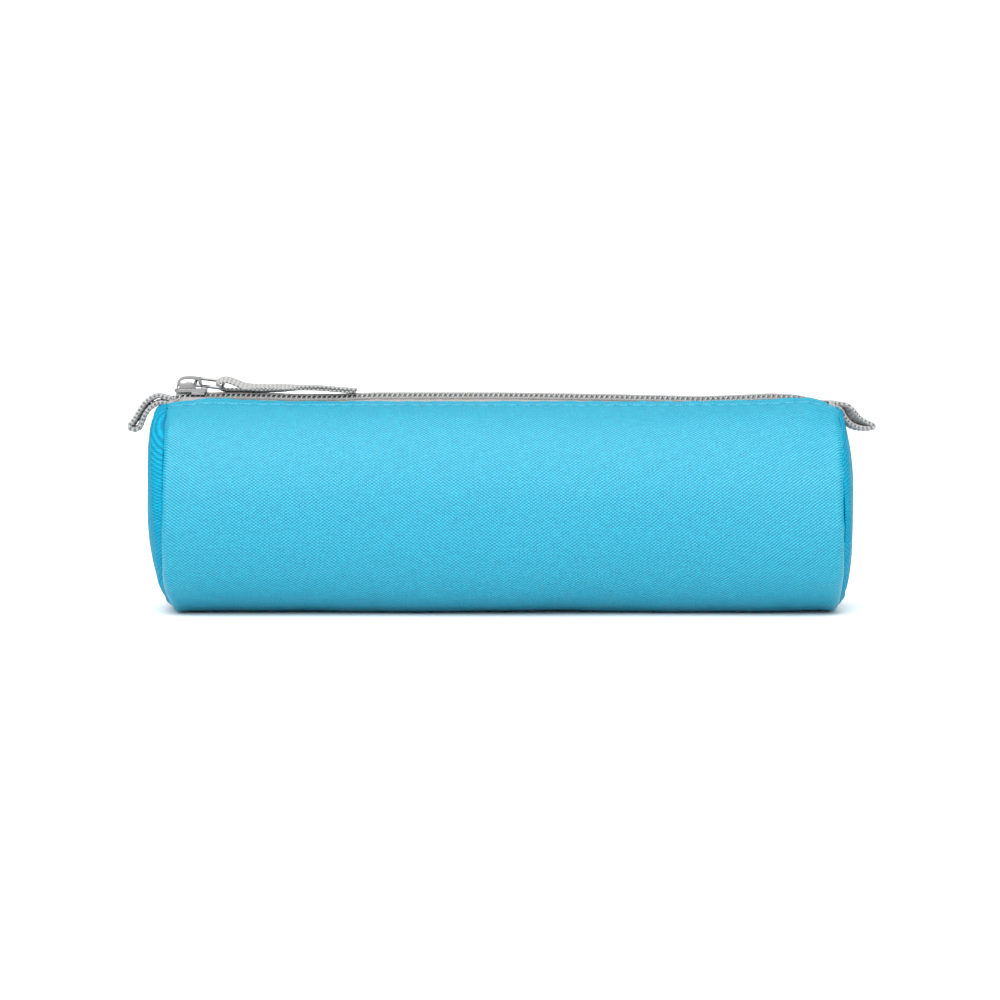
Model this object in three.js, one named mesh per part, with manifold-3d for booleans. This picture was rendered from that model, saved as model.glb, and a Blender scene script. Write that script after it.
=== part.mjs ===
// A barrel pencil case: one woven panel wrapped round, two bulging end discs, a nylon coil zip along the
// top, a slider with a wire link and a webbing puller, and a folded webbing tab at each end of the zip.
// Millimetres. +X runs along the case towards the end where the open slider stops, -Y is the front, +Z is up,
// and the origin is the centre of the flat base.

import * as THREE from "three";
import { mergeVertices } from "three/addons/utils/BufferGeometryUtils.js";
import Module from "manifold-3d";

const wasm = await Module();
wasm.setup();

// ---- Driving dimensions ---------------------------------------------------------------------------------

const GAP = 0.3; // clearance between pieces that touch

const BARREL_RADIUS = 32; // outside of the panel
const AXIS_HEIGHT = 31.2; // lower than the radius, so the barrel rests on a flat strip
const HALF_LENGTH = 99.6; // end seam to middle
const FABRIC = 0.6; // thickness of one layer of coated cloth
const MOUTH_HALF_GAP = 6.5; // centre line to a mouth edge
const HEM_LENGTH = 9; // cloth folded under along each mouth edge
const SEAM_ALLOWANCE = 6; // cloth turned inwards at each end seam
const ARC_STEP = 6; // degrees between points round the barrel

const END_RADIUS = 31;
const END_BULGE = 4.4;
const END_ROUNDNESS = 4; // exponent of the end's profile: higher is flatter in the middle
const LATHE_SIDES = 44;

const TAPE = 0.5; // zip tape thickness
const TAPE_TOP = 62.9; // top face beside the coil
const TAPE_INNER = 0.6; // centre line to the tape's edge
const TAPE_FLAT = 4.4; // half-width of the level strip that carries the coil
const TAPE_OUTER = 14.5; // centre line to the edge hidden under the hem
const TAPE_HALF_LENGTH = 98.7;

const COIL_PITCH = 1.5;
const COIL_BOTTOM = 63.2;
const COIL_TOP = 64.9;
const COIL_OUTER = 3;
const COIL_SPINE = 1.5; // width of the coil's closed side
const TOOTH_REACH = 0.55; // how far a tooth crosses the centre line
const TOOTH_WIDTH = 0.55;
const COIL_START = -97.4;
const COIL_END = 96.6;

const SLIDER_NOSE = -97.7;
const SLIDER_TAIL = -87.8;
const PLATE_TOP = 66.6;
const PLATE_UNDERSIDE = 65.55;
const LOWER_PLATE_TOP = 62;
const LOWER_PLATE = 1;
const NOSE_HALF_WIDTH = 4.6;
const TAIL_HALF_WIDTH = 4.3;
const FLANGE = 0.9;
const FLANGE_BOTTOM = 64.3;
const FLANGE_START = -91.6;
const FLANGE_END = SLIDER_TAIL - 1;
const NOSE_ROUND = 3; // length of the rounded nose
const TAIL_CORNER = 1.2;
const WEDGE_START = SLIDER_NOSE + 0.5;
const WEDGE_WAIST = SLIDER_NOSE + 2.6;
const WEDGE_TIP = SLIDER_NOSE + 4.3;
const WEDGE_HALF_WIDTH = 1.2;
const WEDGE_TIP_HALF_WIDTH = 0.15;
const SPREAD = 2.2; // how far each chain is pushed out by the wedge
const SPREAD_START = -90.8; // chain still closed here
const SPREAD_END = -96.3;

const BRIDGE_X = -93.2;
const BRIDGE_TOP = 70.3;
const BRIDGE_HALF_SPAN = 3.8;
const BRIDGE_HALF_WIDTH = 1.4;
const BRIDGE_BAND = 1.05;
const BRIDGE_SQUARENESS = 3; // exponent of the arch: 2 is an ellipse, higher is squarer

const SPRING_START = BRIDGE_X - 2.1;
const SPRING_END = BRIDGE_X + 1.2;
const SPRING_THICK = 0.7;
const SPRING_WIDTH = 2;
const SPRING_CHAMFER = 0.4;

const WIRE_RADIUS = 0.5;
const LINK_BAR = new THREE.Vector3(-92, 0, 68.15); // the bar inside the bridge
const LINK_CROSSBAR = new THREE.Vector3(-82.9, 0, 67.8); // the bar inside the puller
const LINK_HALF_WIDTH = 4.9;
const LINK_ROLL = THREE.MathUtils.degToRad(8); // the loose link leans towards the front
const LINK_CORNER = 1.4;
const LINK_JOINT = 2.6; // from the bar to where the wire's ends meet
const LINK_SLIT = 0.08; // half the gap between the wire's ends

const PULLER_WIDTH = 8;
const PULLER_END = -43.4;
const EYE_X = -82.6;
const EYE_OUTER = 2.25;
const WEBBING = 0.75; // one layer of webbing
const PULLER_BOTTOM = 65.5;
const PULLER_THICK = 1.6; // both layers together
const NECK = 5.5; // eye centre to where the layers meet
const NECK_EASE = 2.4;
const BARTACK_INSET = 4.4; // from the puller's free end
const BARTACK_LENGTH = 1.2;
const BARTACK_HEIGHT = 0.35;

const TAB_WIDTH = 8;

const BINDING_LEG = 2; // how far the binding tape reaches up each side of the seam allowance
const SEAM_STITCH_INSET = 2.6; // from the panel's inner face to the seam stitches
const SEAM_THREAD = 0.35;
const THREAD_WIDTH = 0.4;
const THREAD_THICK = 0.2;
const COIL_THREAD_OFFSET = 2.1; // centre line to the sewing thread on a coil
const TOPSTITCH_OFFSET = 0.9; // mouth edge to the topstitching

// ---- Colours --------------------------------------------------------------------------------------------

const FINISH = {
  cloth: { color: 0x4fc3ea, roughness: 0.85, metalness: 0 },
  binding: { color: 0x3aa6cf, roughness: 0.9, metalness: 0 },
  blueThread: { color: 0x35b0de, roughness: 0.7, metalness: 0 },
  tape: { color: 0xc9c5c2, roughness: 0.9, metalness: 0 },
  coil: { color: 0xb9b9ba, roughness: 0.45, metalness: 0 },
  greyThread: { color: 0xd0cfce, roughness: 0.8, metalness: 0 },
  webbing: { color: 0xc4c2c1, roughness: 0.9, metalness: 0 },
  nickel: { color: 0xd4d4d6, roughness: 0.2, metalness: 1 },
};

// ---- Helpers --------------------------------------------------------------------------------------------

const X = new THREE.Vector3(1, 0, 0);
const Y = new THREE.Vector3(0, 1, 0);
const Z = new THREE.Vector3(0, 0, 1);
const ALONG_X = new THREE.Matrix4().makeBasis(Y, Z, X); // a shape drawn in Y and Z
const ALONG_Y = new THREE.Matrix4().makeBasis(X, Z, Y.clone().negate()); // a shape drawn in X and Z

const point = (x, y) => new THREE.Vector2(x, y);

function extrude(shape, depth) {
  return new THREE.ExtrudeGeometry(shape, { depth, bevelEnabled: false, curveSegments: 8 });
}

// A shape drawn in Y and Z, extruded from x0 to x1.
function extrudeX(shape, x0, x1) {
  return extrude(shape, x1 - x0).applyMatrix4(ALONG_X).translate(x0, 0, 0);
}

// A shape drawn in X and Z, extruded to a width centred on the middle plane.
function extrudeY(shape, width) {
  return extrude(shape, width).applyMatrix4(ALONG_Y).translate(0, width / 2, 0);
}

// A shape drawn in X and Y, extruded from z0 to z1.
function extrudeZ(shape, z0, z1) {
  return extrude(shape, z1 - z0).translate(0, 0, z0);
}

function solid(geometry) {
  const bare = geometry.index ? geometry.toNonIndexed() : geometry.clone();
  bare.deleteAttribute("normal");
  bare.deleteAttribute("uv");
  const merged = mergeVertices(bare, 1e-4);
  return new wasm.Manifold(
    new wasm.Mesh({
      numProp: 3,
      vertProperties: merged.attributes.position.array,
      triVerts: new Uint32Array(merged.index.array),
    }),
  );
}

function geometryOf(manifold) {
  const mesh = manifold.getMesh();
  const geometry = new THREE.BufferGeometry();
  geometry.setAttribute("position", new THREE.BufferAttribute(mesh.vertProperties, 3));
  geometry.setIndex(new THREE.BufferAttribute(mesh.triVerts, 1));
  geometry.computeVertexNormals();
  return geometry;
}

function join(geometries) {
  return geometryOf(geometries.map(solid).reduce((whole, piece) => whole.add(piece)));
}

// A closed solid through a row of sections, each a closed outline with the same number of points.
function loft(sections) {
  const size = sections[0].length;
  const positions = sections.flat().flatMap((p) => [p.x, p.y, p.z]);
  const index = [];
  for (let s = 0; s + 1 < sections.length; s++) {
    for (let i = 0; i < size; i++) {
      const a = s * size + i;
      const b = s * size + ((i + 1) % size);
      index.push(a, b, b + size, a, b + size, a + size);
    }
  }
  const cap = THREE.ShapeUtils.triangulateShape(sections[0].map((p) => point(p.y, p.z)), []);
  const last = (sections.length - 1) * size;
  for (const [a, b, c] of cap) {
    index.push(a, c, b, last + a, last + b, last + c);
  }
  const geometry = new THREE.BufferGeometry();
  geometry.setAttribute("position", new THREE.Float32BufferAttribute(positions, 3));
  geometry.setIndex(index);
  geometry.computeVertexNormals();
  return geometry;
}

function mirrorY(geometry) {
  const mirrored = geometry.index ? geometry.toNonIndexed() : geometry.clone();
  mirrored.applyMatrix4(new THREE.Matrix4().makeScale(1, -1, 1));
  const position = mirrored.getAttribute("position");
  for (let i = 0; i < position.count; i += 3) {
    const second = new THREE.Vector3().fromBufferAttribute(position, i + 1);
    const third = new THREE.Vector3().fromBufferAttribute(position, i + 2);
    position.setXYZ(i + 1, third.x, third.y, third.z);
    position.setXYZ(i + 2, second.x, second.y, second.z);
  }
  mirrored.computeVertexNormals();
  return mirrored;
}

const object = new THREE.Group();

function addNode(name, geometry, finish) {
  const mesh = new THREE.Mesh(geometry, new THREE.MeshStandardMaterial(FINISH[finish]));
  mesh.name = name;
  object.add(mesh);
  return mesh;
}

// ---- The panel and the ends -----------------------------------------------------------------------------

// Angle, in degrees from +Y towards +Z, at which a circle of this radius meets a mouth edge at the rear.
function mouthAngle(radius) {
  return THREE.MathUtils.radToDeg(Math.acos(MOUTH_HALF_GAP / radius));
}

// Points round the barrel from one angle to another, flattened where the case rests.
function barrelArc(radius, from, to, floor) {
  const count = Math.max(2, Math.round(Math.abs(to - from) / ARC_STEP));
  const points = [];
  for (let i = 0; i <= count; i++) {
    const angle = THREE.MathUtils.degToRad(from + ((to - from) * i) / count);
    const height = AXIS_HEIGHT + radius * Math.sin(angle);
    points.push(point(radius * Math.cos(angle), Math.max(height, floor)));
  }
  return points;
}

function panelGeometry() {
  const inner = BARREL_RADIUS - FABRIC;
  const hem = inner - FABRIC;
  const front = (radius) => 180 - mouthAngle(radius);
  const rear = (radius) => 360 + mouthAngle(radius);
  const hemAngle = THREE.MathUtils.radToDeg(HEM_LENGTH / hem);
  const frontFold = front(hem) + hemAngle;
  const rearFold = rear(hem) - hemAngle;
  const wall = new THREE.Shape([
    ...barrelArc(BARREL_RADIUS, front(BARREL_RADIUS), rear(BARREL_RADIUS), 0),
    ...barrelArc(hem, rear(hem), rearFold, 0),
    ...barrelArc(inner, rearFold, frontFold, FABRIC),
    ...barrelArc(hem, frontFold, front(hem), 0),
  ]);
  const middle = BARREL_RADIUS - FABRIC / 2;
  const edge = inner - SEAM_ALLOWANCE;
  const flange = new THREE.Shape([
    ...barrelArc(middle, front(middle), rear(middle), FABRIC / 2),
    ...barrelArc(edge, rear(edge), front(edge), FABRIC),
  ]);
  return join([
    extrudeX(wall, -HALF_LENGTH, HALF_LENGTH),
    extrudeX(flange, -HALF_LENGTH, -HALF_LENGTH + FABRIC),
    extrudeX(flange, HALF_LENGTH - FABRIC, HALF_LENGTH),
  ]);
}

// Turns a profile of (distance along X from the middle, radius) points round the barrel's axis.
function turned(profile, side) {
  const points = profile.map(([along, radius]) => point(radius, along));
  const geometry = new THREE.LatheGeometry(points, LATHE_SIDES);
  return geometry.rotateZ((-side * Math.PI) / 2).translate(0, 0, AXIS_HEIGHT);
}

function endPanelGeometry(side) {
  const seat = HALF_LENGTH + GAP;
  const steps = 7;
  const dome = (radius, rim) => END_BULGE * (1 - (radius / rim) ** END_ROUNDNESS);
  const outside = [];
  const inside = [];
  const innerRim = END_RADIUS - FABRIC;
  for (let i = 0; i <= steps; i++) {
    const share = Math.sin((Math.PI / 2) * (i / steps));
    const outer = END_RADIUS * share;
    const inner = innerRim * share;
    outside.push([seat + FABRIC + dome(outer, END_RADIUS), outer]);
    inside.push([seat + dome(inner, innerRim), inner]);
  }
  return turned([...inside, ...outside.reverse()], side);
}

function seamBindingGeometry(side) {
  const edge = BARREL_RADIUS - FABRIC - SEAM_ALLOWANCE;
  const web = edge - GAP;
  const inFace = HALF_LENGTH - FABRIC - GAP;
  const outFace = HALF_LENGTH + GAP;
  return turned(
    [
      [inFace - TAPE, web - TAPE],
      [inFace - TAPE, edge + BINDING_LEG],
      [inFace, edge + BINDING_LEG],
      [inFace, web],
      [outFace, web],
      [outFace, edge + BINDING_LEG],
      [outFace + TAPE, edge + BINDING_LEG],
      [outFace + TAPE, web - TAPE],
      [inFace - TAPE, web - TAPE],
    ],
    side,
  );
}

function seamThreadGeometry(side) {
  const face = HALF_LENGTH - FABRIC - GAP;
  const radius = BARREL_RADIUS - FABRIC - SEAM_STITCH_INSET;
  return turned(
    [
      [face - SEAM_THREAD, radius - SEAM_THREAD],
      [face - SEAM_THREAD, radius],
      [face, radius],
      [face, radius - SEAM_THREAD],
      [face - SEAM_THREAD, radius - SEAM_THREAD],
    ],
    side,
  );
}

// ---- The zip --------------------------------------------------------------------------------------------

// How far the slider's wedge has pushed a chain away from the centre line at this x.
function spreadAt(x) {
  return SPREAD * THREE.MathUtils.smoothstep(-x, -SPREAD_START, -SPREAD_END);
}

// Places along X where the chains bend, and the far end.
function stations(start, end) {
  const places = [start];
  const bends = 5;
  for (let i = 0; i <= bends; i++) {
    const x = SPREAD_END + ((SPREAD_START - SPREAD_END) * i) / bends;
    if (x > start) places.push(x);
  }
  places.push(end);
  return places;
}

// The front tape's outline at one x, from its inner edge down to the edge under the hem and back.
function tapeSection(x) {
  const spread = spreadAt(x);
  const underHem = BARREL_RADIUS - 2 * FABRIC - GAP;
  const lay = (y, drop) => AXIS_HEIGHT + Math.sqrt((underHem - drop) ** 2 - y * y);
  const middle = (MOUTH_HALF_GAP + TAPE_OUTER) / 2;
  const dive = MOUTH_HALF_GAP - GAP / 2; // where the tape goes in under the hem
  const flat = Math.min(TAPE_FLAT + spread, dive - 1);
  const top = [
    [TAPE_INNER + spread, TAPE_TOP],
    [flat, TAPE_TOP],
    [dive, lay(dive, 0)],
    [middle, lay(middle, 0)],
    [TAPE_OUTER, lay(TAPE_OUTER, 0)],
  ];
  const bottom = [
    [TAPE_OUTER - GAP, lay(TAPE_OUTER - GAP, TAPE)],
    [middle - GAP / 2, lay(middle - GAP / 2, TAPE)],
    [dive - GAP, lay(dive - GAP, TAPE)],
    [flat - GAP, TAPE_TOP - TAPE],
    [TAPE_INNER + spread, TAPE_TOP - TAPE],
  ];
  return [...top, ...bottom].map(([y, z]) => new THREE.Vector3(x, -y, z));
}

function tapeGeometry() {
  return loft(stations(-TAPE_HALF_LENGTH, TAPE_HALF_LENGTH).map(tapeSection));
}

// One coil as a comb: the closed side of the coil, with a tooth every pitch that crosses the centre line.
function coilGeometry(shift) {
  const front = (x, y) => point(x, -(y + spreadAt(x)));
  const spineInner = COIL_OUTER - COIL_SPINE;
  const outline = [];
  for (let x = COIL_START + shift; x + TOOTH_WIDTH <= COIL_END; x += COIL_PITCH) {
    outline.push(front(x, spineInner), front(x, -TOOTH_REACH));
    outline.push(front(x + TOOTH_WIDTH, -TOOTH_REACH), front(x + TOOTH_WIDTH, spineInner));
  }
  outline.push(front(COIL_END, spineInner), front(COIL_END, COIL_OUTER));
  const bends = stations(COIL_START, SPREAD_START + GAP).reverse();
  bends.forEach((x) => outline.push(front(x, COIL_OUTER)));
  outline.push(front(COIL_START, spineInner + GAP / 2));
  return extrudeZ(new THREE.Shape(outline), COIL_BOTTOM, COIL_TOP);
}

// A thin thread along the zip, at a distance from the centre line and with its underside at a height.
function threadGeometry(distance, bottom, start, end, followsChain) {
  const section = (x) => {
    const inner = distance + (followsChain ? spreadAt(x) : 0);
    return [
      new THREE.Vector3(x, -inner, bottom),
      new THREE.Vector3(x, -inner, bottom + THREAD_THICK),
      new THREE.Vector3(x, -inner - THREAD_WIDTH, bottom + THREAD_THICK),
      new THREE.Vector3(x, -inner - THREAD_WIDTH, bottom),
    ];
  };
  return loft((followsChain ? stations(start, end) : [start, end]).map(section));
}

function topstitchGeometry() {
  const distance = MOUTH_HALF_GAP + TOPSTITCH_OFFSET;
  const clear = BARREL_RADIUS + GAP / 2;
  const bottom = AXIS_HEIGHT + Math.sqrt(clear ** 2 - distance ** 2);
  return threadGeometry(distance, bottom, -HALF_LENGTH + 2, HALF_LENGTH - 2, false);
}

function zipTackGeometry(x0, x1) {
  const half = TAPE_FLAT - GAP;
  const bar = new THREE.Shape([
    point(-half, COIL_BOTTOM),
    point(half, COIL_BOTTOM),
    point(half - GAP, COIL_TOP),
    point(-half + GAP, COIL_TOP),
  ]);
  return extrudeX(bar, x0, x1);
}

// ---- The slider and the pull ----------------------------------------------------------------------------

// A slider plate seen from above: broad rounded nose, slightly narrower tail.
function plateShape(noseHalf, tailHalf) {
  const shoulder = SLIDER_NOSE + NOSE_ROUND;
  const flatNose = noseHalf / 3;
  const plate = new THREE.Shape();
  plate.moveTo(SLIDER_NOSE, -flatNose);
  plate.quadraticCurveTo(SLIDER_NOSE, -noseHalf, shoulder, -noseHalf);
  plate.lineTo(SLIDER_TAIL - TAIL_CORNER, -tailHalf);
  plate.quadraticCurveTo(SLIDER_TAIL, -tailHalf, SLIDER_TAIL, -tailHalf + TAIL_CORNER);
  plate.lineTo(SLIDER_TAIL, tailHalf - TAIL_CORNER);
  plate.quadraticCurveTo(SLIDER_TAIL, tailHalf, SLIDER_TAIL - TAIL_CORNER, tailHalf);
  plate.lineTo(shoulder, noseHalf);
  plate.quadraticCurveTo(SLIDER_NOSE, noseHalf, SLIDER_NOSE, flatNose);
  return plate;
}

function sliderBodyGeometry() {
  const bury = 0.2; // how far joined pieces run into each other
  const wedge = new THREE.Shape([
    point(WEDGE_START, -WEDGE_HALF_WIDTH),
    point(WEDGE_WAIST, -WEDGE_HALF_WIDTH),
    point(WEDGE_TIP, -WEDGE_TIP_HALF_WIDTH),
    point(WEDGE_TIP, WEDGE_TIP_HALF_WIDTH),
    point(WEDGE_WAIST, WEDGE_HALF_WIDTH),
    point(WEDGE_START, WEDGE_HALF_WIDTH),
  ]);
  const flange = (side) => {
    const outer = side * TAIL_HALF_WIDTH;
    const inner = side * (TAIL_HALF_WIDTH - FLANGE);
    const strip = new THREE.Shape([
      point(FLANGE_START, Math.min(outer, inner)),
      point(FLANGE_END, Math.min(outer, inner)),
      point(FLANGE_END, Math.max(outer, inner)),
      point(FLANGE_START, Math.max(outer, inner)),
    ]);
    return extrudeZ(strip, FLANGE_BOTTOM, PLATE_UNDERSIDE + bury);
  };
  const lowerShape = plateShape(TAPE_FLAT - 2 * GAP, TAPE_FLAT - 2 * GAP);
  return join([
    extrudeZ(plateShape(NOSE_HALF_WIDTH, TAIL_HALF_WIDTH), PLATE_UNDERSIDE, PLATE_TOP),
    extrudeZ(lowerShape, LOWER_PLATE_TOP - LOWER_PLATE, LOWER_PLATE_TOP),
    extrudeZ(wedge, LOWER_PLATE_TOP - bury, PLATE_UNDERSIDE + bury),
    flange(-1),
    flange(1),
  ]);
}

// Half of a rounded arch, as points from one foot over the top to the other.
function archPoints(halfSpan, rise, foot) {
  const steps = 14;
  const power = 2 / BRIDGE_SQUARENESS;
  const points = [];
  for (let i = 0; i <= steps; i++) {
    const angle = Math.PI * (1 - i / steps);
    const across = Math.sign(Math.cos(angle)) * Math.abs(Math.cos(angle)) ** power;
    const up = Math.abs(Math.sin(angle)) ** power;
    points.push(point(BRIDGE_X + halfSpan * across, foot + rise * up));
  }
  return points;
}

function bridgeGeometry() {
  const foot = PLATE_TOP + GAP;
  const rise = BRIDGE_TOP - foot;
  const outer = archPoints(BRIDGE_HALF_SPAN, rise, foot);
  const inner = archPoints(BRIDGE_HALF_SPAN - BRIDGE_BAND, rise - BRIDGE_BAND, foot);
  const arch = new THREE.Shape([...outer, ...inner.reverse()]);
  return extrudeY(arch, 2 * BRIDGE_HALF_WIDTH);
}

function lockSpringGeometry() {
  const bottom = PLATE_TOP + GAP;
  const top = bottom + SPRING_THICK;
  const leaf = new THREE.Shape([
    point(SPRING_START, bottom),
    point(SPRING_END, bottom),
    point(SPRING_END, top),
    point(SPRING_START + SPRING_CHAMFER, top),
    point(SPRING_START, top - SPRING_CHAMFER),
  ]);
  return extrudeY(leaf, SPRING_WIDTH);
}

// The wire link: a rounded rectangle of wire whose two ends meet on the front arm.
function linkGeometry() {
  const along = LINK_CROSSBAR.clone().sub(LINK_BAR);
  const length = along.length();
  const across = Y.clone().applyAxisAngle(along.clone().normalize(), LINK_ROLL);
  const place = (s, t) =>
    LINK_BAR.clone().addScaledVector(along, s / length).addScaledVector(across, t);
  const corners = [
    [length, -LINK_HALF_WIDTH],
    [length, LINK_HALF_WIDTH],
    [0, LINK_HALF_WIDTH],
    [0, -LINK_HALF_WIDTH],
  ];
  const butt = (gap) => [LINK_JOINT + gap, -LINK_HALF_WIDTH];
  const stops = [butt(LINK_SLIT), ...corners, butt(-LINK_SLIT)];
  const path = new THREE.CurvePath();
  let from = place(...stops[0]);
  for (let i = 1; i + 1 < stops.length; i++) {
    const here = place(...stops[i]);
    const before = place(...stops[i - 1]).sub(here).setLength(LINK_CORNER).add(here);
    const after = place(...stops[i + 1]).sub(here).setLength(LINK_CORNER).add(here);
    path.add(new THREE.LineCurve3(from, before));
    path.add(new THREE.QuadraticBezierCurve3(before, here, after));
    from = after;
  }
  path.add(new THREE.LineCurve3(from, place(...stops[stops.length - 1])));
  const wire = new THREE.Shape();
  wire.absarc(0, 0, WIRE_RADIUS, 0, 2 * Math.PI);
  return new THREE.ExtrudeGeometry(wire, { steps: 44, curveSegments: 4, extrudePath: path });
}

// The webbing loop seen from the front: a round eye over the link, then two layers lying on each other.
function pullerShape() {
  const eyeZ = PULLER_BOTTOM + EYE_OUTER;
  const top = PULLER_BOTTOM + PULLER_THICK;
  const neck = EYE_X + NECK;
  const shape = new THREE.Shape();
  shape.moveTo(EYE_X, PULLER_BOTTOM);
  shape.lineTo(PULLER_END, PULLER_BOTTOM);
  shape.lineTo(PULLER_END, top);
  shape.lineTo(neck, top);
  shape.quadraticCurveTo(neck - NECK_EASE, top, EYE_X + WEBBING, eyeZ + EYE_OUTER);
  shape.lineTo(EYE_X, eyeZ + EYE_OUTER);
  shape.absarc(EYE_X, eyeZ, EYE_OUTER, Math.PI / 2, (3 * Math.PI) / 2, false);
  const eye = new THREE.Path();
  const eyeInner = EYE_OUTER - WEBBING;
  eye.moveTo(EYE_X, eyeZ + eyeInner);
  eye.quadraticCurveTo(EYE_X + eyeInner, eyeZ + eyeInner, EYE_X + 2 * eyeInner, eyeZ - eyeInner / 2);
  eye.lineTo(EYE_X + 2 * eyeInner - GAP, eyeZ - eyeInner);
  eye.lineTo(EYE_X, eyeZ - eyeInner);
  eye.absarc(EYE_X, eyeZ, eyeInner, (3 * Math.PI) / 2, Math.PI / 2, true);
  shape.holes.push(eye);
  return shape;
}

function bartackGeometry() {
  const bottom = PULLER_BOTTOM + PULLER_THICK + GAP / 2;
  const start = PULLER_END - BARTACK_INSET;
  const end = start + BARTACK_LENGTH;
  const tack = new THREE.Shape([
    point(start, bottom),
    point(end, bottom),
    point(end, bottom + BARTACK_HEIGHT),
    point(start, bottom + BARTACK_HEIGHT),
  ]);
  return extrudeY(tack, PULLER_WIDTH - 2 * WEBBING);
}

// ---- The end tabs ---------------------------------------------------------------------------------------

// A folded tab seen from the front. It leaves the seam, bends over and hangs, and its two layers part before
// the fold. Outline points are (outwards from the end seam, height).
function tabGeometry(side, outline, slot) {
  const place = ([out, z]) => point(side * (HALF_LENGTH + out), z);
  const curve = new THREE.SplineCurve(outline.map(place));
  const edge = curve.getPoints((outline.length - 1) * 2);
  if (THREE.ShapeUtils.isClockWise(edge)) edge.reverse();
  const shape = new THREE.Shape(edge);
  shape.holes.push(new THREE.Path(slot.map(place)));
  return extrudeY(shape, TAB_WIDTH);
}

const LEFT_TAB = [
  [-0.3, 63.5],
  [3.4, 65.5],
  [7.4, 63.2],
  [10.1, 59.6],
  [12.2, 55.2],
  [11.4, 53.6],
  [8.3, 53.3],
  [7.3, 55],
  [6.6, 58.9],
  [5.2, 61.6],
  [3.2, 63.2],
  [-0.3, 62.6],
];
const LEFT_SLOT = [
  [8, 60.6],
  [10.6, 55.8],
  [8.9, 55.6],
];
const RIGHT_TAB = [
  [-0.3, 63.3],
  [2.2, 63.9],
  [5, 62.4],
  [7, 59.6],
  [9.2, 57.6],
  [11, 55.8],
  [10.2, 54.1],
  [7.6, 53.6],
  [5.6, 54.6],
  [5, 57.4],
  [4, 60],
  [2.6, 62],
  [-0.3, 62.5],
];
const RIGHT_SLOT = [
  [6.1, 59.4],
  [9.1, 56.3],
  [7.4, 55.7],
  [6.3, 57.2],
];

// ---- Assembly -------------------------------------------------------------------------------------------

addNode("body_panel", panelGeometry(), "cloth");
for (const [side, name] of [
  [-1, "left"],
  [1, "right"],
]) {
  addNode(name + "_end_panel", endPanelGeometry(side), "cloth");
  addNode(name + "_seam_binding", seamBindingGeometry(side), "binding");
  addNode(name + "_seam_thread", seamThreadGeometry(side), "blueThread");
}

const coilThreadBottom = COIL_TOP + GAP / 2;
const zipSides = [
  ["front", (geometry) => geometry, 0],
  ["rear", mirrorY, COIL_PITCH / 2],
];
for (const [name, face, toothShift] of zipSides) {
  addNode(name + "_zip_tape", face(tapeGeometry()), "tape");
  addNode(name + "_coil", face(coilGeometry(toothShift)), "coil");
  const thread = threadGeometry(COIL_THREAD_OFFSET, coilThreadBottom, COIL_START, COIL_END, true);
  addNode(name + "_coil_thread", face(thread), "greyThread");
  addNode(name + "_topstitch", face(topstitchGeometry()), "blueThread");
}
addNode("left_zip_tack", zipTackGeometry(-TAPE_HALF_LENGTH, COIL_START - 2 * GAP), "greyThread");
addNode("right_zip_tack", zipTackGeometry(COIL_END + GAP, TAPE_HALF_LENGTH - GAP), "greyThread");

addNode("slider_body", sliderBodyGeometry(), "nickel");
addNode("slider_bridge", bridgeGeometry(), "nickel");
addNode("slider_lock_spring", lockSpringGeometry(), "nickel");
addNode("pull_link", linkGeometry(), "nickel");
addNode("puller_webbing", extrudeY(pullerShape(), PULLER_WIDTH), "webbing");
addNode("puller_bartack", bartackGeometry(), "greyThread");

addNode("left_tab", tabGeometry(-1, LEFT_TAB, LEFT_SLOT), "webbing");
addNode("right_tab", tabGeometry(1, RIGHT_TAB, RIGHT_SLOT), "webbing");

export default object;
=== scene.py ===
# Looks for the barrel pencil case: woven panel, end discs, coil zip, slider with webbing puller, end tabs.
import math

import bmesh
import bpy
import numpy as np
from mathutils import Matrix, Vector


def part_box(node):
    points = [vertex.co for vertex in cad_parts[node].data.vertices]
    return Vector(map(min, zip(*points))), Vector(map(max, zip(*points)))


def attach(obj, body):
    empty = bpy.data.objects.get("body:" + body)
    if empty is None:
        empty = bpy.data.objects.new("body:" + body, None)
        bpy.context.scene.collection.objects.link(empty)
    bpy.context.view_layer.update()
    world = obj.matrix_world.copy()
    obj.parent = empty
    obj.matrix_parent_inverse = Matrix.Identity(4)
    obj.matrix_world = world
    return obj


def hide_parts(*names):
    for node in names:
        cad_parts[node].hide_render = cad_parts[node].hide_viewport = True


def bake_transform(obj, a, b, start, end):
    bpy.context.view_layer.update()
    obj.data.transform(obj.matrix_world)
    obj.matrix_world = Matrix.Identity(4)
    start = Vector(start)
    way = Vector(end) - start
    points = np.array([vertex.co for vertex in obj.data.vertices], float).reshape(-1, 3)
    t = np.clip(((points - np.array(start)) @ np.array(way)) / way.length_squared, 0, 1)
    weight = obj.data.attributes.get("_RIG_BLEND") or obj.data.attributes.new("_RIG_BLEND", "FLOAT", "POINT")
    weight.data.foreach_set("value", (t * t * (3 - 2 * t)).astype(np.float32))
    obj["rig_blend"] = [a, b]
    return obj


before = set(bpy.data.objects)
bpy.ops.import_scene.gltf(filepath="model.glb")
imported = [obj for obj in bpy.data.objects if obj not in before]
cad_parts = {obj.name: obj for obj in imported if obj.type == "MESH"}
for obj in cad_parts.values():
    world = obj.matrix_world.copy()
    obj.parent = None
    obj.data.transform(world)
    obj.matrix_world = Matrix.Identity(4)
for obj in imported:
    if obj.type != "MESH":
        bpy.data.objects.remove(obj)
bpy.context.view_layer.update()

# ---- Driving sizes, in millimetres ----

M = 0.001  # millimetres to metres


def box_mm(node):
    """Lowest and highest corner of a CAD node in millimetres."""
    low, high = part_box(node)
    return np.array(low) / M, np.array(high) / M


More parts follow.
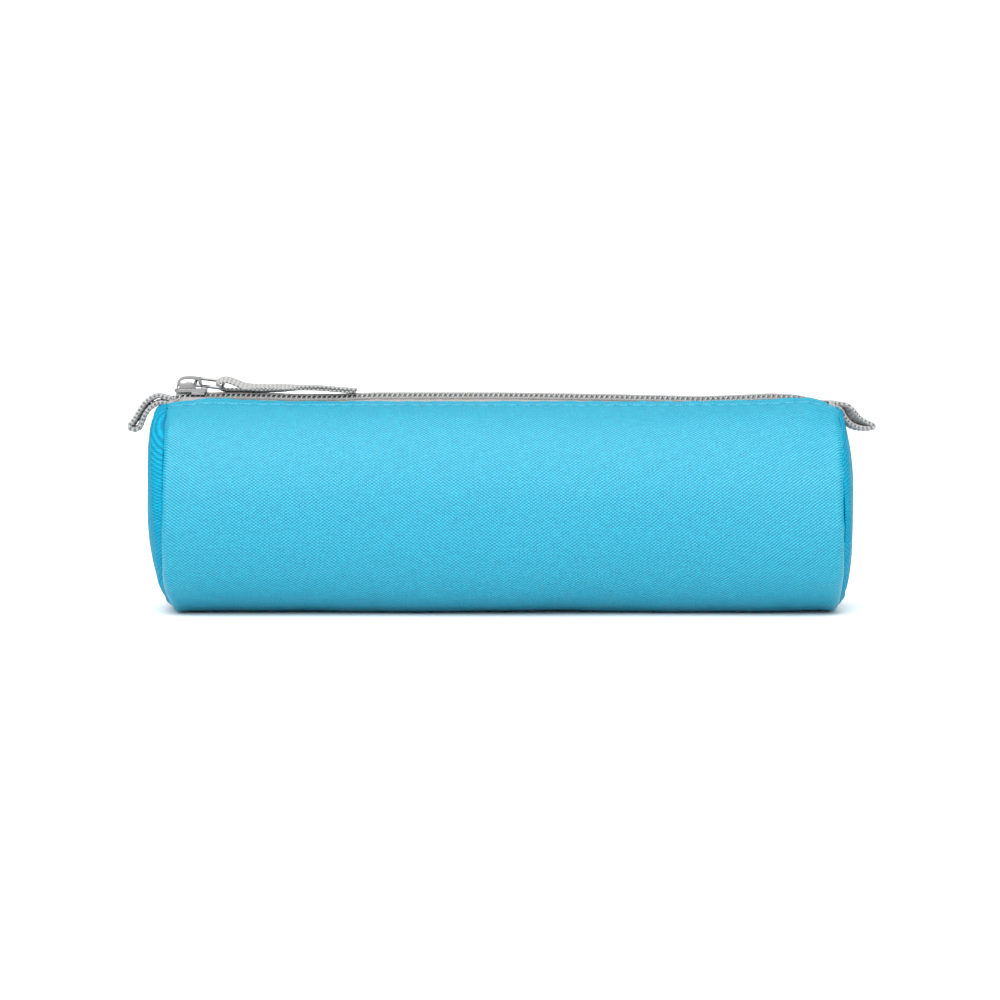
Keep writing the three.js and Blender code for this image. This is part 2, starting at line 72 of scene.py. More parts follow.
HALF_LENGTH, RADIUS = box_mm("body_panel")[1][:2]
COIL_LOW, COIL_HIGH = box_mm("front_coil")
SLIDER_LOW, SLIDER_HIGH = box_mm("slider_body")
BRIDGE_LOW, BRIDGE_HIGH = box_mm("slider_bridge")
PULLER_END = box_mm("puller_webbing")[1][0]

AXIS_Z = 31.2  # height of the barrel's axis
MOUTH = 6.5  # from the zip's centre line to a mouth edge
CLOTH = 0.5  # thickness of the cloth
FOLD = 0.56  # between the two layers of the hem, middle to middle
HEM = 9.0  # how far the cloth is turned under along the mouth
STITCH_PITCH = 4.1
STITCH_DEPTH = 3.2  # from the mouth edge to the topstitch line
COIL_PITCH = 1.5  # one tooth of the zip
RIB = 1.24  # one rib of the webbing
WEAVE_ALONG = 1.25  # one repeat of the cloth's weave
WEAVE_DOWN = 0.9
WEAVE_DEPTH = 0.14
LIP_FLAT_Z = 58.0  # above this height a lip turns as one
LIP_ROOT_Z = 20.0  # below this height the panel doesn't move
SPREAD = 2.2  # how far the parked slider's wedge holds each coil from the centre line
SPREAD_START = -90.8  # the coils part here
SPREAD_END = -96.3  # and are fully apart here
OPEN_LEFT = -97.5  # the mouth's two ends when the slider is at its far stop
OPEN_RIGHT = 85.0

# ---- Small helpers ----


def smooth(t):
    """Smoothstep of an array, clamped to 0..1."""
    t = np.clip(t, 0.0, 1.0)
    return t * t * (3 - 2 * t)


def bump(x, centre, width):
    """A bell curve."""
    return np.exp(-(((x - centre) / width) ** 2))


def waves(p, q, seed, count=7):
    """A smooth wandering field over two coordinates, about -1..1, the same at every run."""
    draw = np.random.default_rng(seed)
    total = np.zeros(np.broadcast(p, q).shape)
    for _ in range(count):
        direction = draw.uniform(0, 2 * math.pi)
        scale = draw.uniform(0.6, 1.7)
        phase = draw.uniform(0, 2 * math.pi)
        total += np.sin(2 * math.pi * scale * (p * math.cos(direction) + q * math.sin(direction)) + phase)
    return total / math.sqrt(count) * 0.8


def along_case(x, stops, values, width):
    """A measure that is given at a few stops along the case, joined up and rounded off over width."""
    fine = np.linspace(-102, 102, 409)
    kernel = bump(np.arange(-8, 9) * 0.5, 0, width)
    curve = np.convolve(np.interp(fine, stops, values), kernel / kernel.sum(), mode="same")
    return np.interp(x, fine, curve)


def rounded(wave, power):
    """A sine or cosine with its size raised to a power, which squares off a round outline."""
    return np.sign(wave) * np.abs(wave) ** power


def build(name, points, faces, uv=None, smooth_shading=True):
    """A mesh object from millimetre points, with an optional UV pair for each point, in millimetres."""
    mesh = bpy.data.meshes.new(name)
    mesh.from_pydata((np.asarray(points) * M).tolist(), [], faces)
    if uv is not None:
        layer = mesh.uv_layers.new(name="UVMap")
        loops = np.empty(len(mesh.loops), np.int32)
        mesh.loops.foreach_get("vertex_index", loops)
        layer.data.foreach_set("uv", np.asarray(uv, np.float32)[loops].ravel())
    if smooth_shading:
        mesh.polygons.foreach_set("use_smooth", [True] * len(mesh.polygons))
    mesh.update()
    obj = bpy.data.objects.new(name, mesh)
    bpy.context.scene.collection.objects.link(obj)
    return obj


def face_outwards(obj):
    """Turns every face of a closed body outwards."""
    bm = bmesh.new()
    bm.from_mesh(obj.data)
    bmesh.ops.recalc_face_normals(bm, faces=bm.faces)
    bm.to_mesh(obj.data)
    bm.free()
    return obj


def grid_faces(rows, columns, start=0, wrap=False, flip=False):
    """Quads over a grid of points numbered row by row from start."""
    faces = []
    last = columns if wrap else columns - 1
    for i in range(rows - 1):
        for j in range(last):
            a = start + i * columns + j
            b = start + i * columns + (j + 1) % columns
            quad = (a, b, b + columns, a + columns)
            faces.append(quad[::-1] if flip else quad)
    return faces


def grid_normals(points, wrap=False):
    """Unit normals of a grid of points."""
    across = np.gradient(points, axis=0)
    if wrap:
        along = np.roll(points, -1, axis=1) - np.roll(points, 1, axis=1)
    else:
        along = np.gradient(points, axis=1)
    normal = np.cross(across, along)
    return normal / np.maximum(np.linalg.norm(normal, axis=-1, keepdims=True), 1e-9)


def outward_normals(points):
    """Normals of a grid that starts at a mouth edge, turned so that they point up there."""
    normal = grid_normals(points)
    return normal * np.sign(normal[0, points.shape[1] // 2, 2])


def cloth_solid(name, middle, thickness, uv, wrap=False, flip=False):
    """A closed sheet of cloth: a grid of middle points, made thick and closed round its edges."""
    rows, columns = middle.shape[:2]
    normal = grid_normals(middle, wrap)
    if flip:
        normal = -normal
    offset = normal * (thickness / 2)
    points = np.concatenate([(middle + offset).reshape(-1, 3), (middle - offset).reshape(-1, 3)])
    count = rows * columns
    faces = grid_faces(rows, columns, 0, wrap, flip)
    faces += grid_faces(rows, columns, count, wrap, not flip)
    edges = []
    for i in (0, rows - 1):
        ring = [i * columns + j for j in range(columns)]
        edges.append((ring + ring[:1] if wrap else ring, i == 0))
    if not wrap:
        for j in (0, columns - 1):
            edges.append(([i * columns + j for i in range(rows)], j != 0))
    for ring, first in edges:
        for a, b in zip(ring, ring[1:]):
            quad = (a, b, b + count, a + count)
            faces.append(quad[::-1] if first != flip else quad)
    both = np.concatenate([uv.reshape(-1, 2), uv.reshape(-1, 2)])
    return face_outwards(build(name, points, faces, both))


def ring_solid(name, rings, uv=None, closed=False):
    """A closed body through rings of equally many points. It has two end caps, or runs round to its start."""
    rings = np.asarray(rings, float)
    count, size = rings.shape[:2]
    faces = grid_faces(count, size, 0, wrap=True)
    if closed:
        last = (count - 1) * size
        faces += [(last + j, last + (j + 1) % size, (j + 1) % size, j) for j in range(size)]
    else:
        faces.append(tuple(reversed(range(size))))
        faces.append(tuple((count - 1) * size + j for j in range(size)))
    return face_outwards(build(name, rings.reshape(-1, 3), faces, None if uv is None else uv.reshape(-1, 2)))


def frames_along(path):
    """Unit tangents of a path, and two unit vectors across it that turn as little as possible."""
    path = np.asarray(path, float)
    tangent = np.gradient(path, axis=0)
    tangent /= np.linalg.norm(tangent, axis=1, keepdims=True)
    side = np.zeros_like(path)
    guess = np.array([0.0, 0.0, 1.0]) if abs(tangent[0][2]) < 0.9 else np.array([0.0, 1.0, 0.0])
    for i, t in enumerate(tangent):
        guess = guess - t * guess.dot(t)
        guess /= np.linalg.norm(guess)
        side[i] = guess
    return tangent, side, np.cross(tangent, side)


def tube_rings(path, radius, sides):
    """Rings of a round tube along a path. The radius may change along it."""
    path = np.asarray(path, float)
    _, side, other = frames_along(path)
    turn = np.linspace(0, 2 * math.pi, sides, endpoint=False)
    radius = np.broadcast_to(np.asarray(radius, float), (len(path),))
    circle = side[:, None] * np.cos(turn)[None, :, None] + other[:, None] * np.sin(turn)[None, :, None]
    return path[:, None] + circle * radius[:, None, None]


def tubes(name, paths, radius):
    """Many lengths of thread with capped ends as one mesh. Each radius tapers in at both ends."""
    sides = 6
    points = []
    faces = []
    for path in paths:
        taper = np.full(len(path), float(radius))
        taper[[0, -1]] *= 0.45
        rings = tube_rings(path, taper, sides)
        start = len(points)
        points.extend(rings.reshape(-1, 3).tolist())
        faces += grid_faces(len(path), sides, start, wrap=True)
        faces.append(tuple(start + j for j in reversed(range(sides))))
        end = start + (len(path) - 1) * sides
        faces.append(tuple(end + j for j in range(sides)))
    return build(name, points, faces)


def spline(points, step):
    """A smooth curve through points, resampled to even steps."""
    points = np.asarray(points, float)
    padded = np.concatenate([2 * points[:1] - points[1:2], points, 2 * points[-1:] - points[-2:-1]])
    dense = []
    t = np.linspace(0, 1, 24, endpoint=False)[:, None]
    for i in range(len(points) - 1):
        p0, p1, p2, p3 = padded[i : i + 4]
        dense.append(0.5 * (2 * p1 + (p2 - p0) * t + (2 * p0 - 5 * p1 + 4 * p2 - p3) * t**2
                            + (3 * p1 - p0 - 3 * p2 + p3) * t**3))
    dense = np.concatenate(dense + [points[-1:]])
    length = np.concatenate([[0], np.cumsum(np.linalg.norm(np.diff(dense, axis=0), axis=1))])
    count = max(2, int(round(length[-1] / step)) + 1)
    even = np.linspace(0, length[-1], count)
    return np.stack([np.interp(even, length, dense[:, k]) for k in range(points.shape[1])], axis=1)


# ---- Materials ----


class Nodes:
    """Short calls for building one material's node tree."""

    def __init__(self, name):
        self.material = bpy.data.materials.new(name)
        self.material.use_nodes = True
        self.tree = self.material.node_tree
        self.shader = self.tree.nodes["Principled BSDF"]

    def add(self, kind, **inputs):
        """A node with its inputs set or linked, by name or, as in0 or in1, by number."""
        node = self.tree.nodes.new(kind)
        for key, value in inputs.items():
            self.plug(node, key, value)
        return node

    def plug(self, node, key, value):
        if key.startswith("in") and key[2:].isdigit():
            socket = node.inputs[int(key[2:])]
        else:
            socket = node.inputs[key.replace("_", " ")]
        if isinstance(value, bpy.types.NodeSocket):
            self.tree.links.new(value, socket)
        else:
            socket.default_value = value

    def math(self, operation, a, b=0.0, c=0.0, clamp=False):
        node = self.add("ShaderNodeMath")
        node.operation = operation
        node.use_clamp = clamp
        for index, value in enumerate((a, b, c)):
            self.plug(node, f"in{index}", value)
        return node.outputs[0]

    def mix(self, factor, a, b):
        node = self.add("ShaderNodeMix")
        node.data_type = "RGBA"
        self.plug(node, "in0", factor)
        self.plug(node, "in6", a)
        self.plug(node, "in7", b)
        return node.outputs[2]

    def uv(self):
        separate = self.add("ShaderNodeSeparateXYZ", in0=self.add("ShaderNodeUVMap").outputs[0])
        return separate.outputs[0], separate.outputs[1]

    def noise(self, scale, detail=2.0, stretch=(1.0, 1.0, 1.0), vector=None):
        coordinates = vector or self.add("ShaderNodeTexCoord").outputs["Object"]
        mapping = self.add("ShaderNodeMapping", in0=coordinates)
        mapping.inputs["Scale"].default_value = stretch
        return self.add("ShaderNodeTexNoise", Vector=mapping.outputs[0], Scale=scale,
                        Detail=detail).outputs["Fac"]

    def bump(self, height, distance):
        """A normal from a height. The distance is in millimetres."""
        return self.add("ShaderNodeBump", Height=height, Distance=distance * M, Strength=1.0).outputs[0]

    def finish(self, **sockets):
        for key, value in sockets.items():
            self.plug(self.shader, key, value)
        return self.material


def rgb(red, green, blue):
    return (red, green, blue, 1.0)


def wave_of(n, coordinate, pitch, phase=0.0):
    """Sine of a coordinate in millimetres, with that pitch."""
    return n.math("SINE", n.math("MULTIPLY_ADD", coordinate, 2 * math.pi / pitch, phase))


def cloth_material(name, light, dark, roughness, ior):
    """Woven cloth: dashes in two slopes, of which one wins at the left and the other at the right."""
    n = Nodes(name)
    u, v = n.uv()
    weft = n.add("ShaderNodeUVMap").outputs[0]
    drift = n.noise(0.35, 2.0, vector=weft)
    drift_u = n.math("MULTIPLY_ADD", drift, 0.5, u)
    drift_v = n.math("MULTIPLY_ADD", drift, 0.4, v)
    along = n.math("DIVIDE", drift_u, WEAVE_ALONG)
    down = n.math("DIVIDE", drift_v, WEAVE_DOWN)
    rising = wave_of(n, n.math("SUBTRACT", along, down), 1.0, math.pi / 2)
    falling = wave_of(n, n.math("ADD", along, down), 1.0, math.pi / 2)
    region = n.noise(0.014, 1.0, vector=weft)
    slope = n.math("MULTIPLY_ADD", region, 1.3, n.math("MULTIPLY_ADD", u, 0.0035, -0.15), clamp=True)
    lean = n.math("MULTIPLY_ADD", slope, 0.5, 0.25)
    dots = n.math("SUBTRACT", n.math("MULTIPLY", n.math("SUBTRACT", 1.0, lean), rising),
                  n.math("MULTIPLY", lean, falling))
    yarn = n.noise(1.0, 2.0, (0.25, 2.2, 1.0), vector=weft)
    pick = n.noise(1.0, 2.0, (2.2, 0.25, 1.0), vector=weft)
    threads = n.math("ADD", n.math("MULTIPLY", yarn, 0.5), n.math("MULTIPLY", pick, 0.5))
    height = n.math("MULTIPLY_ADD", dots, 0.5, n.math("MULTIPLY", threads, 0.6))
    tone = n.math("MULTIPLY_ADD", dots, 0.95, n.math("MULTIPLY_ADD", threads, 1.6, -0.31))
    tone_node = n.add("ShaderNodeClamp", in0=tone)
    colour = n.mix(tone_node.outputs[0], dark, light)
    return n.finish(Base_Color=colour, Roughness=roughness, IOR=ior,
                    Normal=n.bump(height, WEAVE_DEPTH))


def lining_material(name, colour, deep):
    """The smooth coated back of the cloth."""
    n = Nodes(name)
    weft = n.add("ShaderNodeUVMap").outputs[0]
    cloud = n.noise(0.06, 3.0, vector=weft)
    grain = n.noise(1.6, 2.0, vector=weft)
    shade = n.math("MULTIPLY_ADD", cloud, 0.7, n.math("MULTIPLY", grain, 0.3))
    return n.finish(Base_Color=n.mix(shade, deep, colour), Roughness=0.62,
                    Normal=n.bump(grain, 0.06))


def ribbed_material(name, light, dark, pitch):
    """Woven narrow goods: ribs across the width, with a fine twill over them."""
    n = Nodes(name)
    u, v = n.uv()
    rib = wave_of(n, u, pitch)
    fine = wave_of(n, n.math("ADD", u, v), pitch * 0.7)
    fuzz = n.noise(2.2, 3.0, vector=n.add("ShaderNodeUVMap").outputs[0])
    height = n.math("MULTIPLY_ADD", rib, 0.4, n.math("MULTIPLY_ADD", fine, 0.25, fuzz))
    tone = n.add("ShaderNodeClamp", in0=n.math("MULTIPLY_ADD", rib, 0.16, fuzz))
    return n.finish(Base_Color=n.mix(tone.outputs[0], dark, light), Roughness=0.82,
                    Sheen_Weight=0.25, Sheen_Roughness=0.5, Normal=n.bump(height, 0.07))


def webbing_material(name, light, dark, hole):
    """Woven strap: ribs across its width, and a row of small holes along the middle of each edge, coloured
    dark as painted shade.
    """
    n = Nodes(name)
    u, v = n.uv()
    rib = wave_of(n, u, RIB, math.pi / 2)
    rising = wave_of(n, n.math("ADD", u, v), RIB * 0.6)
    falling = wave_of(n, n.math("SUBTRACT", u, v), RIB * 0.6)
    knit = n.math("MULTIPLY", rising, falling)
    fuzz = n.noise(2.2, 3.0, vector=n.add("ShaderNodeUVMap").outputs[0])
    height = n.math("MULTIPLY_ADD", rib, 0.25, n.math("MULTIPLY_ADD", knit, 0.45, fuzz))
    weave = n.math("MULTIPLY_ADD", rib, 0.22, n.math("MULTIPLY", knit, 0.35))
    tone = n.add("ShaderNodeClamp", in0=n.math("MULTIPLY_ADD", fuzz, 0.9, n.math("ADD", weave, 0.14)))
    edge = n.math("MULTIPLY_ADD", v, -1 / 0.34, 1.0, clamp=True)  # 1 on the edge, 0 on the faces
    # Painted shade: the holes along each edge are coloured near black for the shade inside them.
    pit_shade = n.math("MULTIPLY", n.math("MULTIPLY_ADD", rib, -3.0, -1.0, clamp=True), edge, clamp=True)
    colour = n.mix(pit_shade, n.mix(tone.outputs[0], dark, light), hole)
    return n.finish(Base_Color=colour, Roughness=0.8, Sheen_Weight=0.15, Sheen_Roughness=0.5,
                    Normal=n.bump(height, 0.09))


def thread_material(name, light, dark):
    """Twisted sewing thread."""
    n = Nodes(name)
    twist = n.noise(2600.0)
    return n.finish(Base_Color=n.mix(twist, dark, light), Roughness=0.6, Sheen_Weight=0.3,
                    Normal=n.bump(twist, 0.04))


def nylon_material():
    """Translucent light grey monofilament."""
    n = Nodes("nylon_coil")
    mottle = n.noise(900.0)
    colour = n.mix(mottle, rgb(0.26, 0.26, 0.26), rgb(0.42, 0.42, 0.42))
    return n.finish(Base_Color=colour, Roughness=0.36, Subsurface_Weight=0.15,
                    Normal=n.bump(mottle, 0.02))


def nickel_material():
    """Bright nickel with faint tumbling marks, and tone and dullness that change in soft patches."""
    n = Nodes("bright_nickel")
    marks = n.noise(700.0, 4.0, (1.0, 3.0, 1.0))
    cloud = n.noise(160.0)
    roughness = n.math("MULTIPLY_ADD", marks, 0.16, n.math("MULTIPLY_ADD", cloud, 0.12, 0.10))
    colour = n.mix(cloud, rgb(0.19, 0.19, 0.193), rgb(0.30, 0.30, 0.304))
    return n.finish(Base_Color=colour, Metallic=1.0, Roughness=roughness,
                    Normal=n.bump(marks, 0.012))


CLOTH_MAT = cloth_material("blue_oxford", rgb(0.0, 0.37, 0.515), rgb(0.0, 0.165, 0.275), 0.4, 1.5)
END_CLOTH_MAT = cloth_material("blue_oxford_ends", rgb(0.0, 0.31, 0.47), rgb(0.0, 0.165, 0.29), 0.6, 1.22)
LINING_MAT = lining_material("coated_back", rgb(0.05, 0.24, 0.36), rgb(0.03, 0.18, 0.28))
BINDING_MAT = ribbed_material("binding_tape", rgb(0.015, 0.22, 0.36), rgb(0.005, 0.14, 0.25), 0.8)
BLUE_THREAD_MAT = thread_material("blue_thread", rgb(0.03, 0.40, 0.56), rgb(0.0, 0.24, 0.38))
GREY_THREAD_MAT = thread_material("grey_thread", rgb(0.42, 0.415, 0.41), rgb(0.22, 0.217, 0.214))
TAPE_MAT = ribbed_material("zip_tape", rgb(0.37, 0.355, 0.345), rgb(0.22, 0.21, 0.205), 0.55)
# The last colour is painted shade for the holes along the webbing's edges.
WEBBING_MAT = webbing_material("grey_webbing", rgb(0.46, 0.455, 0.45), rgb(0.16, 0.158, 0.156),
                               rgb(0.05, 0.05, 0.05))
COIL_MAT = nylon_material()
NICKEL_MAT = nickel_material()

# ---- The panel ----

MOUTH_ANGLE = math.asin(MOUTH / RADIUS)  # from the top of the barrel to a mouth edge
HALF_ARC = RADIUS * (math.pi - MOUTH_ANGLE)  # from a mouth edge to the middle of the base
SEAM_X = HALF_LENGTH - CLOTH / 2  # where the panel ends
FLOOR_EASE = 1.0  # how softly the barrel's round turns into the flat strip it rests on


def mouth_rise(x):
    """How far the front mouth edge stands above or below its mean height along the case."""
    stops = [-101, -97, -93, -86, -78, -62, 55, 76, 88, 92.5, 96, 98, 101]
    rise = [-1.1, -0.3, 0.35, 1.0, 0.55, 0.0, 0.0, 0.45, 1.1, 1.1, -0.5, -1.7, -2.4]
    return along_case(x, stops, rise, 1.8)


def seam_inset(x, z):
    """How much nearer the middle the end seam lies low down, mostly at the left end."""
    low = smooth((10 - z) / 10)
    return np.where(x < 0, 1.9, 0.4) * low


def panel_middle(x, arc, face):
    """Middle surface of the panel: x along the case, arc down from a mouth edge, face -1 at the front."""
    seam = SEAM_X - np.abs(x)  # distance to the end seam
    angle = MOUTH_ANGLE + arc / RADIUS
    near_end = smooth(1 - seam / 12)
    radial = 0.30 * waves(x / 70, arc / 60 + 5 * face, 11) * smooth(arc / 12) * smooth(seam / 10)
    radial += 0.16 * waves(x / 26, arc / 34 + face, 12) * smooth(arc / 8)
    pucker = waves(arc / 15 + np.sign(x) * 3, face, 13, 5)
    pucker = pucker + 0.6 * waves(arc / 7, np.sign(x) + face, 14, 4)
    radial += 0.42 * pucker * np.exp(-np.maximum(seam, 0) / 5.5)
    radial -= 0.35 * bump(seam, 6.5, 3.0) * near_end
    corner = 2.0  # radius of the edge that turns in to the seam
    inside = np.clip(corner - seam, 0, corner)
    drop = corner - np.sqrt(np.maximum(corner**2 - inside**2, 0))
    radial -= 1.45 * (0.3 + 0.7 * smooth(arc / 12)) * drop
    beat = np.cos(2 * math.pi * x / STITCH_PITCH)
    radial -= (0.34 + 0.10 * beat) * bump(arc, STITCH_DEPTH, 0.42)
    radial += 0.10 * bump(arc, 0.4, 0.5)
    radial += 0.05 * beat * np.exp(-arc / 2.5) + 0.10 * waves(x / 11, arc / 9, 15) * np.exp(-arc / 6)
    below = np.maximum(angle - math.pi / 2, 0)
    size = (RADIUS - CLOTH / 2) * (1 + 0.055 * np.sin(2 * below) ** 2) + radial
    y = size * np.sin(angle)
    z = AXIS_Z + size * np.cos(angle)
    z = 0.5 * (z + np.sqrt(z * z + FLOOR_EASE)) - 0.12
    z = z + mouth_rise(x) * np.exp(-arc / 7.0) * (1.0 if face < 0 else 0.75)
    z = np.maximum(z, CLOTH / 2 + 0.02)
    inset = seam_inset(x, z) * smooth((np.abs(x) - 70) / 30)
    return np.stack([x - np.sign(x) * inset, face * y, z], axis=-1)


def opening(x):
    """How far each stretch of the mouth opens when the slider is at its far stop, 0 to 1."""
    rise = smooth((x - OPEN_LEFT) / 52)
    fall = smooth((OPEN_RIGHT + 3.5 - x) / 60)
    return rise * fall


def bend_with_lip(obj, face):
    """The piece bends between the case and its mouth edge, most in the middle of the mouth."""
    lip = "front_lip" if face < 0 else "rear_lip"
    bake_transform(obj, "case", lip, start=(0, 0, LIP_ROOT_Z * M), end=(0, 0, LIP_FLAT_Z * M))
    weights = obj.data.attributes["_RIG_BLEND"].data
    share = np.zeros(len(weights), np.float32)
    weights.foreach_get("value", share)
    co = np.zeros(len(weights) * 3, np.float32)
    obj.data.vertices.foreach_get("co", co)
    share *= opening(co[0::3] / M).astype(np.float32)
    weights.foreach_set("value", share)


def panel_columns():
    """Places along the case, closer together at the end seams."""
    ends = SEAM_X - np.array([0, 0.15, 0.4, 0.8, 1.3, 2.0, 2.8, 3.6])
    inner = np.linspace(-ends[-1], ends[-1], 281)
    return np.concatenate([-ends[:-1], inner, ends[:-1][::-1]])


def finish_cloth(obj, split, face_material):
    """Woven face outside, coated back inside: the back's faces are those past the split vertex."""
    obj.data.materials.append(face_material)
    obj.data.materials.append(LINING_MAT)
    for polygon in obj.data.polygons:
        if min(polygon.vertices) >= split:
            polygon.material_index = 1


def make_panel(face, name):
    """Half of the one-piece panel, from its folded mouth edge to the middle of the base."""
    x = panel_columns()
    outer_arc = np.concatenate([np.arange(0.0, 3.0, 0.22), np.arange(3.0, 12.0, 0.75),
                                np.linspace(12.0, HALF_ARC, 60)])
    under_arc = np.array([HEM, 7, 5, 3, 1.5, 0.6, 0.0])
    grid_x, grid_arc = np.meshgrid(x, outer_arc)
    outer = panel_middle(grid_x, grid_arc, face)
    normal = outward_normals(outer)
    lower_x, lower_arc = np.meshgrid(x, under_arc)
    base = panel_middle(lower_x, lower_arc, face)
    under = base - outward_normals(base) * FOLD
    edge_out = outer[0] - outer[1]
    edge_out /= np.linalg.norm(edge_out, axis=1, keepdims=True)
    centre = outer[0] - normal[0] * FOLD / 2
    fold = []
    for turn in np.radians([150, 120, 90, 60, 30]):
        fold.append(centre + normal[0] * math.cos(turn) * FOLD / 2 + edge_out * math.sin(turn) * FOLD / 2)
    middle = np.concatenate([under, np.array(fold), outer])
    fold_arc = np.linspace(-0.75, -0.1, 5)  # the weave runs on round the fold
    arcs = np.concatenate([-under_arc - 0.85, fold_arc, outer_arc])
    uv = np.stack(np.broadcast_arrays(x[None, :], arcs[:, None]), axis=-1).astype(float)
    obj = cloth_solid(name, middle, CLOTH, uv, flip=face > 0)
    finish_cloth(obj, middle.shape[0] * middle.shape[1], CLOTH_MAT)
    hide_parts("body_panel")
    bend_with_lip(obj, face)


for panel_face, panel_name in ((-1, "panel_front"), (1, "panel_rear")):
    make_panel(panel_face, panel_name)

# ---- The ends ----

END_SIDES = ((-1, "left"), (1, "right"))


def barrel_reach(turn):
    """Distance from the barrel's axis to its outside in the direction turn, where the base is flattened."""
    down = np.minimum(np.sin(turn), -1e-6)
    return np.minimum(RADIUS, (AXIS_Z - 0.35) / -down)


def close_hub(obj, columns, count):
    """Fills the small holes left at the middle of a disc's two faces."""
    bm = bmesh.new()
    bm.from_mesh(obj.data)
    bm.verts.ensure_lookup_table()
    inner = [f for f in bm.faces if all(v.index % count < columns for v in f.verts)]
    bmesh.ops.delete(bm, geom=inner, context="FACES")
    for start in (0, count):
        ring = [bm.verts[start + j] for j in range(columns)]
        bm.faces.new(ring).smooth = True
    bmesh.ops.recalc_face_normals(bm, faces=bm.faces)
    bm.to_mesh(obj.data)
    bm.free()


def make_end(side, word):
    """A round end disc: cloth that bulges outwards, gathered into its seam."""
    turn = np.linspace(0, 2 * math.pi, 160, endpoint=False)
    share = np.concatenate([np.linspace(0.02, 0.9, 26), np.array([0.925, 0.95, 0.965, 0.98, 0.99, 1.0])])
    grid_turn, grid_share = np.meshgrid(turn, share)
    mouth_end = bump(np.abs(grid_turn - math.pi / 2), 0.0, 0.3)
    rim = barrel_reach(grid_turn) - 1.35 - (0.0 if side < 0 else 1.2) * mouth_end
    reach = rim * grid_share
    y = reach * np.cos(grid_turn)
    z = AXIS_Z + reach * np.sin(grid_turn)
    high = smooth((z - 8) / 50)  # the left disc is fuller low down and squarer high up
    power = 3.6 + 5.0 * high if side < 0 else 3.4 - 1.2 * high
    bulge = 4.15 - 1.45 * high if side < 0 else 3.7
    roll = 0.9 + 1.75 * high if side < 0 else 0.75
    out = bulge * (1 - grid_share**power)
    from_rim = rim - reach
    out += roll * (1 - np.exp(-from_rim / 0.6))
    out += 0.30 * bump(from_rim, 1.5, 0.5) - 0.25 * bump(from_rim, 2.7, 0.6)
    ruck = waves(grid_turn * 4.4, side, 21, 6) * np.exp(-from_rim / 5.0)
    out += 0.24 * ruck * smooth(from_rim / 1.5)
    out += 0.35 * waves(y / 42, z / 42 + side, 22)
    x = side * (HALF_LENGTH - 0.45 + out)
    x -= side * seam_inset(x, z) * (1 - 0.45 * (1 - grid_share))
    middle = np.stack([x, y, z], axis=-1)
    uv = np.stack([y, z], axis=-1)
    obj = cloth_solid("end_" + word, middle, CLOTH, uv, wrap=True, flip=side < 0)
    close_hub(obj, len(turn), middle.shape[0] * middle.shape[1])
    finish_cloth(obj, middle.shape[0] * middle.shape[1], END_CLOTH_MAT)
    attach(obj, "case")
    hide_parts(word + "_end_panel")


for end_side, end_word in END_SIDES:
    make_end(end_side, end_word)

# ---- Inside the end seams ----

ALLOWANCE = 6.0  # depth of the cloth turned in at a seam
SEAM_STITCH_POINTS = 3
# Each profile goes round a ring's section: distance in from the barrel, and along the case.
ALLOWANCE_PROFILE = [(1.1, 0.0), (2.6, 0.0), (ALLOWANCE, 0.0), (ALLOWANCE, 1.0), (2.6, 1.0), (1.1, 1.0)]
BINDING_PROFILE = [(2.9, 1.4), (4.5, 1.45), (6.3, 1.4), (6.85, 0.5), (6.3, -0.4), (4.5, -0.45), (2.9, -0.4),
                   (2.9, 1.02)]


def seam_ring(side, inset, along):
    """Points round an end seam, inset from the barrel and shifted along the case towards the middle."""
    turn = np.linspace(0, 2 * math.pi, 180, endpoint=False)
    mouth_end = bump(np.abs(turn - math.pi / 2), 0.0, 0.3)
    reach = barrel_reach(turn) - inset - (0.3 if side < 0 else 1.7) * mouth_end
    y = reach * np.cos(turn)
    z = AXIS_Z + reach * np.sin(turn)
    x = side * (HALF_LENGTH - 0.9 - along - seam_inset(side * 99.0, z))
    return np.stack([x, y, z], axis=-1)


def make_seam_inside(side, word):
    """The turned-in cloth edges of a seam, the binding folded over them, and its stitches."""
    rings = [seam_ring(side, inset, along) for inset, along in ALLOWANCE_PROFILE]
    allowance = ring_solid(word + "_allowance", rings, closed=True)
    allowance.data.materials.append(LINING_MAT)
    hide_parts("body_panel")
    rings = np.array([seam_ring(side, inset, along) for inset, along in BINDING_PROFILE])
    turn = np.linspace(0, 2 * math.pi, rings.shape[1], endpoint=False)
    rings[..., 0] -= side * 0.12 * waves(turn * 6, side, 31)
    around = turn * RADIUS
    uv = np.stack(np.broadcast_arrays(around[None, :], np.arange(len(rings))[:, None] * 1.3), axis=-1)
    binding = ring_solid(word + "_binding", rings, uv, closed=True)
    binding.data.materials.append(BINDING_MAT)
    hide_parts(word + "_seam_binding")
    line = seam_ring(side, 4.3, 1.55)
    paths = []
    for start in range(0, len(line) - SEAM_STITCH_POINTS, SEAM_STITCH_POINTS):
        piece = line[start : start + SEAM_STITCH_POINTS].copy()
        piece[[0, -1], 0] += side * 0.3
        paths.append(piece)
    thread = tubes(word + "_seam_stitches", paths, 0.2)
    thread.data.materials.append(BLUE_THREAD_MAT)
    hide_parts(word + "_seam_thread")
    for obj in (allowance, binding, thread):
        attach(obj, "case")


for end_side, end_word in END_SIDES:
    make_seam_inside(end_side, end_word)

# ---- The zip ----

CHAIN_Z = 63.7  # middle height of the coils
COIL_HALF_HEIGHT = 0.58
COIL_HEAD = -0.5  # how far a coil reaches across the centre line
COIL_BACK = 2.75
COIL_WIRE = 0.33  # radius of the nylon wire
TAPE = 0.45  # thickness of a tape
TAPE_Z = 62.7
TAPE_INNER = 0.6  # from the centre line to the tape's woven edge under the coil
TAPE_BEND = 5.1  # and to where it goes under the hem
TAPE_PAST_SEAM = 0.9


